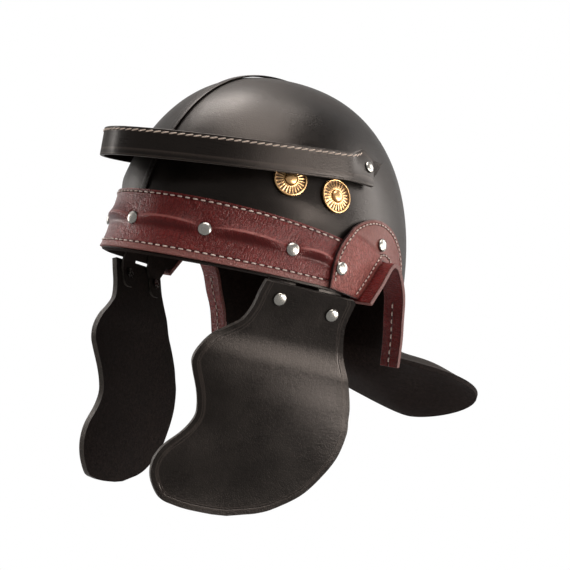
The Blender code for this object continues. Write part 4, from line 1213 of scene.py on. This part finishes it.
def makeCheekGuard(suffix, side):
    # rows run straight from the front edge to the back edge
    front = curveThrough(np.array(cheek["frontShares"]) * cheek["height"], cheek["rows"] - 1)
    back = curveThrough(np.array(cheek["backShares"]) * cheek["height"], cheek["rows"] - 1)
    share = np.linspace(0, 1, cheek["columns"])[None, :, None]
    place = mix(front[:, None], back[:, None], share)
    grid = cheekPoint(place[..., 0], place[..., 1], cheekOut(place[..., 1]))
    outline = np.vstack([front, back[::-1]])
    grid = grid + cheekBelly(place, front, back)[..., None] * hinge["out"]
    crease = np.abs(distanceTo(place, outline) - cheek["groove"])
    leather("cheekGuard." + suffix, grid, cheek["wall"], suffix + "_guard", ["cheek_guard_" + suffix],
            (blackCreased, blackEdge, blackFlesh), side,
            centre=hinge["origin"] - hinge["out"] * cheek["height"], fields=dict(crease=crease))


def makeStrap(suffix, side, word, rivetAngle, rivetZ):
    # rows down the bowl's inside, over the hinge line and down the guard's inside
    along = straps["places"][word]
    half = straps["width"] / 2
    across = np.linspace(-half, half, straps["columns"])
    foot = cheekPoint(along, 0, 0)
    low = sideAngle(foot[1], foot[2])
    lineZ = hinge["origin"][2] + hinge["along"][2] * along
    top = rivetZ + straps["topReach"]
    rows = []
    for share in np.linspace(0, 1, straps["bowlRows"]):
        angle = mix(rivetAngle, low, share) + across / bowl["halfWidth"]
        rows.append(skin(angle, mix(top, lineZ, share), straps["off"]))
    rows.append(skin(low + across / bowl["halfWidth"], lineZ - straps["bendRun"], straps["off"]))
    drop = straps["drops"][word]
    for down in np.linspace(straps["runOut"], drop + straps["bottomReach"], straps["guardRows"]):
        rows.append(cheekPoint(along + across, down, cheekOut(down) - cheek["wall"] - fit))
    grid = curveThrough(np.stack(rows).reshape(len(rows), -1), straps["rows"]).reshape(-1, len(across), 3)
    middle = grid[:, len(across) // 2]
    run = runAlong(middle)
    fromEnd = np.minimum(run, run[-1] - run)
    corner = np.clip(1 - fromEnd / straps["cornerRun"], 0, 1)
    narrow = 1 - (1 - np.sqrt(1 - corner ** 2)) * straps["cornerRun"] / half
    grid = mix(middle[:, None], grid, narrow[:, None, None])
    name = "hinge_strap_{}_" + word + "_" + suffix
    piece = leather("hingeStrap." + word + "." + suffix, grid, straps["wall"], None,
                    [name.format("upper"), name.format("lower")],
                    (blackGrain, blackEdge, blackFlesh), side, centre=hinge["origin"] * np.array([0, 1, 1]),
                    bevel=straps["bevel"])
    bend = hinge["origin"] + hinge["along"] * along
    reach = np.array([0, 0, straps["blendRun"]])
    mirrored(bend + reach, side)
    mirrored(bend - reach, side)
    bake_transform(piece)
    place = cheekPoint(along, drop, cheekOut(drop))
    below = cheekPoint(along, drop + cheek["wall"], cheekOut(drop + cheek["wall"]))
    normal = unit(np.cross(hinge["along"], below - place))
    normal = normal * np.sign((normal * hinge["out"]).sum())
    grip = cheek["wall"] + straps["wall"] + 2 * fit + rivet["burrGap"]
    addRivet("cheekRivet." + word + "." + suffix, "cheek_rivet_" + word + "_" + suffix, place + normal * fit,
             normal, grip, side, suffix + "_guard")


bowlRivets()
for suffix, side in sides:
    rosettes(suffix, side)
    makeCheekGuard(suffix, side)
    makeStrap(suffix, side, "front", band["rivetAngles"][2], bandMiddle(band["rivetAngles"][2]))
    makeStrap(suffix, side, "back", *rivet["earFront"])
print("rivets, rosettes and cheek guards made")

# Neck guard
neck = dict(
    wall=0.0035, collar=0.0125, startAngle=math.radians(121), side=(0.0904, 0.061, -0.035),
    sweep=(0.0436, 0.1295, -0.0072), back=(0, 0.1996, -0.0783), backHalfRun=0.031,
    bendShares=(0.3, 0.3, 0.75), columns=70, rows=56, collarRows=6, easing=24, border=0.0045,
    swell=0.0045, swellStart=0.25, swellPower=1.5, swellSide=0.2,
)


def neckGuard():
    # each column: the collar, then a curve from the skirt through a bend to the outer edge
    n = neck
    share = np.linspace(0, 1, n["columns"])
    angle = mix(n["startAngle"], np.pi, share)
    side = np.array(n["side"])
    sweep = side + np.array(n["sweep"])
    back = np.array(n["back"])
    turnIn = back + np.array([n["backHalfRun"], 0, 0])
    s = share[:, None]
    rest = 1 - s
    edge = side * rest ** 3 + sweep * 3 * s * rest ** 2 + turnIn * 3 * s ** 2 * rest + back * s ** 3
    top = skin(angle, -bowl["skirtDepth"], fit)
    bend = mix(top, edge, np.array(n["bendShares"]))
    rise = np.linspace(n["collar"], 0, n["collarRows"], endpoint=False)[:, None]
    collar = skin(angle, rise - bowl["skirtDepth"], fit)
    down = np.linspace(0, 1, n["rows"])[:, None, None]
    curve = top * (1 - down) ** 2 + bend * 2 * down * (1 - down) + edge * down ** 2
    half = np.concatenate([collar, curve])
    half = np.stack([evenly(column, n["rows"]) for column in half.transpose(1, 0, 2)], 1)
    run = np.clip((np.linspace(0, 1, len(half)) - n["swellStart"]) / (1 - n["swellStart"]), 0, 1)[:, None]
    half[..., 2] += n["swell"] * np.sin(np.pi * run) ** n["swellPower"] * smooth(share / n["swellSide"])
    for _ in range(n["easing"]):
        half[1:-1] = (half[:-2] + 2 * half[1:-1] + half[2:]) / 4
    inner = bothSides(half[:, ::-1])
    normal = gridNormals(inner)
    below = np.array([0, 0, -bowl["height"]])
    if (normal * (inner - below)).sum() < 0:
        normal = -normal
    outer = inner + normal * n["wall"]
    fromEdge = np.linalg.norm(outer - outer[-1:], axis=2)
    leather("neckGuard", outer, n["wall"], "helmet", ["neck_guard"],
            (blackCreased, blackFlesh, blackFlesh), centre=below,
            fields=dict(crease=np.abs(fromEdge - n["border"])))


neckGuard()
print("neck guard made")

# Floor, light and camera
studio = dict(floorHeight=-0.45, floorSize=6, floorGrey=(0.8, 0.8, 0.8, 1), ambient=0.25,
              warmth=(1, 0.945, 0.9))
camera = dict(azimuth=43.67, elevation=-1.79, roll=9.93, distance=0.8993, target=(0.02658, 0.00235, 0.00453),
              focalPixels=1300.15, imagePixels=570, sensor=36, clip=(0.01, 50))


def seenDirectly(tree):
    # 1 for rays from the camera, from mirrors and through glass, 0 for all others
    path = tree.nodes.new("ShaderNodeLightPath")
    seen, glossy, through = (Value(tree, path.outputs["Is " + word + " Ray"])
                             for word in ("Camera", "Glossy", "Transmission"))
    seen = seen.maths("MAXIMUM", seen, glossy)
    return seen.maths("MAXIMUM", seen, through)


def addFloor():
    # a square that looks plain white and lights the helmet as a grey floor would
    mesh = bpy.data.meshes.new("floor")
    half, z = studio["floorSize"] / 2, studio["floorHeight"]
    mesh.from_pydata([(-half, -half, z), (half, -half, z), (half, half, z), (-half, half, z)], [],
                     [(0, 1, 2, 3)])
    floor = bpy.data.objects.new("floor", mesh)
    bpy.context.scene.collection.objects.link(floor)
    material = bpy.data.materials.new("floorWhite")
    material.use_nodes = True
    tree = material.node_tree
    tree.nodes.clear()
    plain, glow, blend, out = (tree.nodes.new("ShaderNode" + kind)
                               for kind in ("BsdfDiffuse", "Emission", "MixShader", "OutputMaterial"))
    plain.inputs["Color"].default_value = studio["floorGrey"]
    tree.links.new(seenDirectly(tree).socket, blend.inputs[0])
    tree.links.new(plain.outputs[0], blend.inputs[1])
    tree.links.new(glow.outputs[0], blend.inputs[2])
    tree.links.new(blend.outputs[0], out.inputs[0])
    mesh.materials.append(material)


def addWorld():
    # white where it is seen, and the ambient share of it as light
    world = bpy.data.worlds.new("studio")
    world.use_nodes = True
    bpy.context.scene.world = world
    tree = world.node_tree
    strength = seenDirectly(tree) * (1 - studio["ambient"]) + studio["ambient"]
    ground = tree.nodes["Background"]
    ground.inputs["Color"].default_value = (1, 1, 1, 1)
    tree.links.new(strength.socket, ground.inputs["Strength"])


def addLight(name, azimuth, elevation, distance, wide, tall, glow, sheen=False):
    # a lamp on a sphere round the helmet, facing it; its power is glow * pi * area.
    # a sheen is only reflected and lights nothing else
    a, e = math.radians(azimuth), math.radians(elevation)
    away = Vector((math.sin(a) * math.cos(e), -math.cos(a) * math.cos(e), math.sin(e)))
    lamp = bpy.data.lights.new(name, "AREA")
    lamp.shape = "RECTANGLE"
    lamp.size = wide
    lamp.size_y = tall
    lamp.energy = glow * math.pi * wide * tall
    lamp.color = studio["warmth"]
    thing = bpy.data.objects.new(name, lamp)
    bpy.context.scene.collection.objects.link(thing)
    thing.location = away * distance
    thing.rotation_euler = away.to_track_quat("Z", "Y").to_euler()
    thing.visible_diffuse = not sheen


def addCamera():
    # looks at the target from its azimuth and elevation, rolled about its own view
    c = camera
    a, e, r = (math.radians(c[word]) for word in ("azimuth", "elevation", "roll"))
    back = np.array([math.sin(a) * math.cos(e), -math.cos(a) * math.cos(e), math.sin(e)])
    level = np.array([math.cos(a), math.sin(a), 0])
    up = np.cross(back, level)
    right = math.cos(r) * level + math.sin(r) * up
    top = math.cos(r) * up - math.sin(r) * level
    turn = Matrix([list(row) for row in np.stack([right, top, back], 1)]).to_4x4()
    data = bpy.data.cameras.new("camera")
    data.sensor_width = c["sensor"]
    data.lens = c["focalPixels"] * data.sensor_width / c["imagePixels"]
    data.clip_start, data.clip_end = c["clip"]
    thing = bpy.data.objects.new("camera", data)
    bpy.context.scene.collection.objects.link(thing)
    thing.matrix_world = Matrix.Translation(Vector(np.array(c["target"]) + back * c["distance"])) @ turn
    bpy.context.scene.camera = thing


addFloor()
addWorld()
# Name, azimuth, elevation, distance, width, height, glow, and whether it is a sheen
lamps = (
    ("overheadSheen", -66, 66, 1.6, 0.8, 0.8, 20, True),
    ("crownSheen", 40, 82, 1.6, 1.2, 1.2, 12, True),
    ("browSheen", 56, 60, 1.6, 0.9, 0.3, 22, True),
    ("sideSheen", 119, -8, 1.6, 0.85, 0.9, 40, True),
    ("bandSheen", 92, 6, 1.6, 0.4, 0.45, 30, True),
    ("rearSheen", 150, 19, 1.7, 0.8, 1.3, 12, True),
    ("leftSheen", -74, 2, 1.7, 0.6, 0.7, 12, True),
    ("overheadBox", 30, 68, 1.6, 1.1, 1.1, 2.6),
    ("sideBox", 112, 5, 1.7, 0.9, 1.3, 2.2),
    ("leftBox", -60, 30, 1.8, 0.9, 1.2, 1.8),
)
for lamp in lamps:
    addLight(*lamp)
addCamera()
bpy.context.scene.view_settings.view_transform = "Standard"
print("studio set")
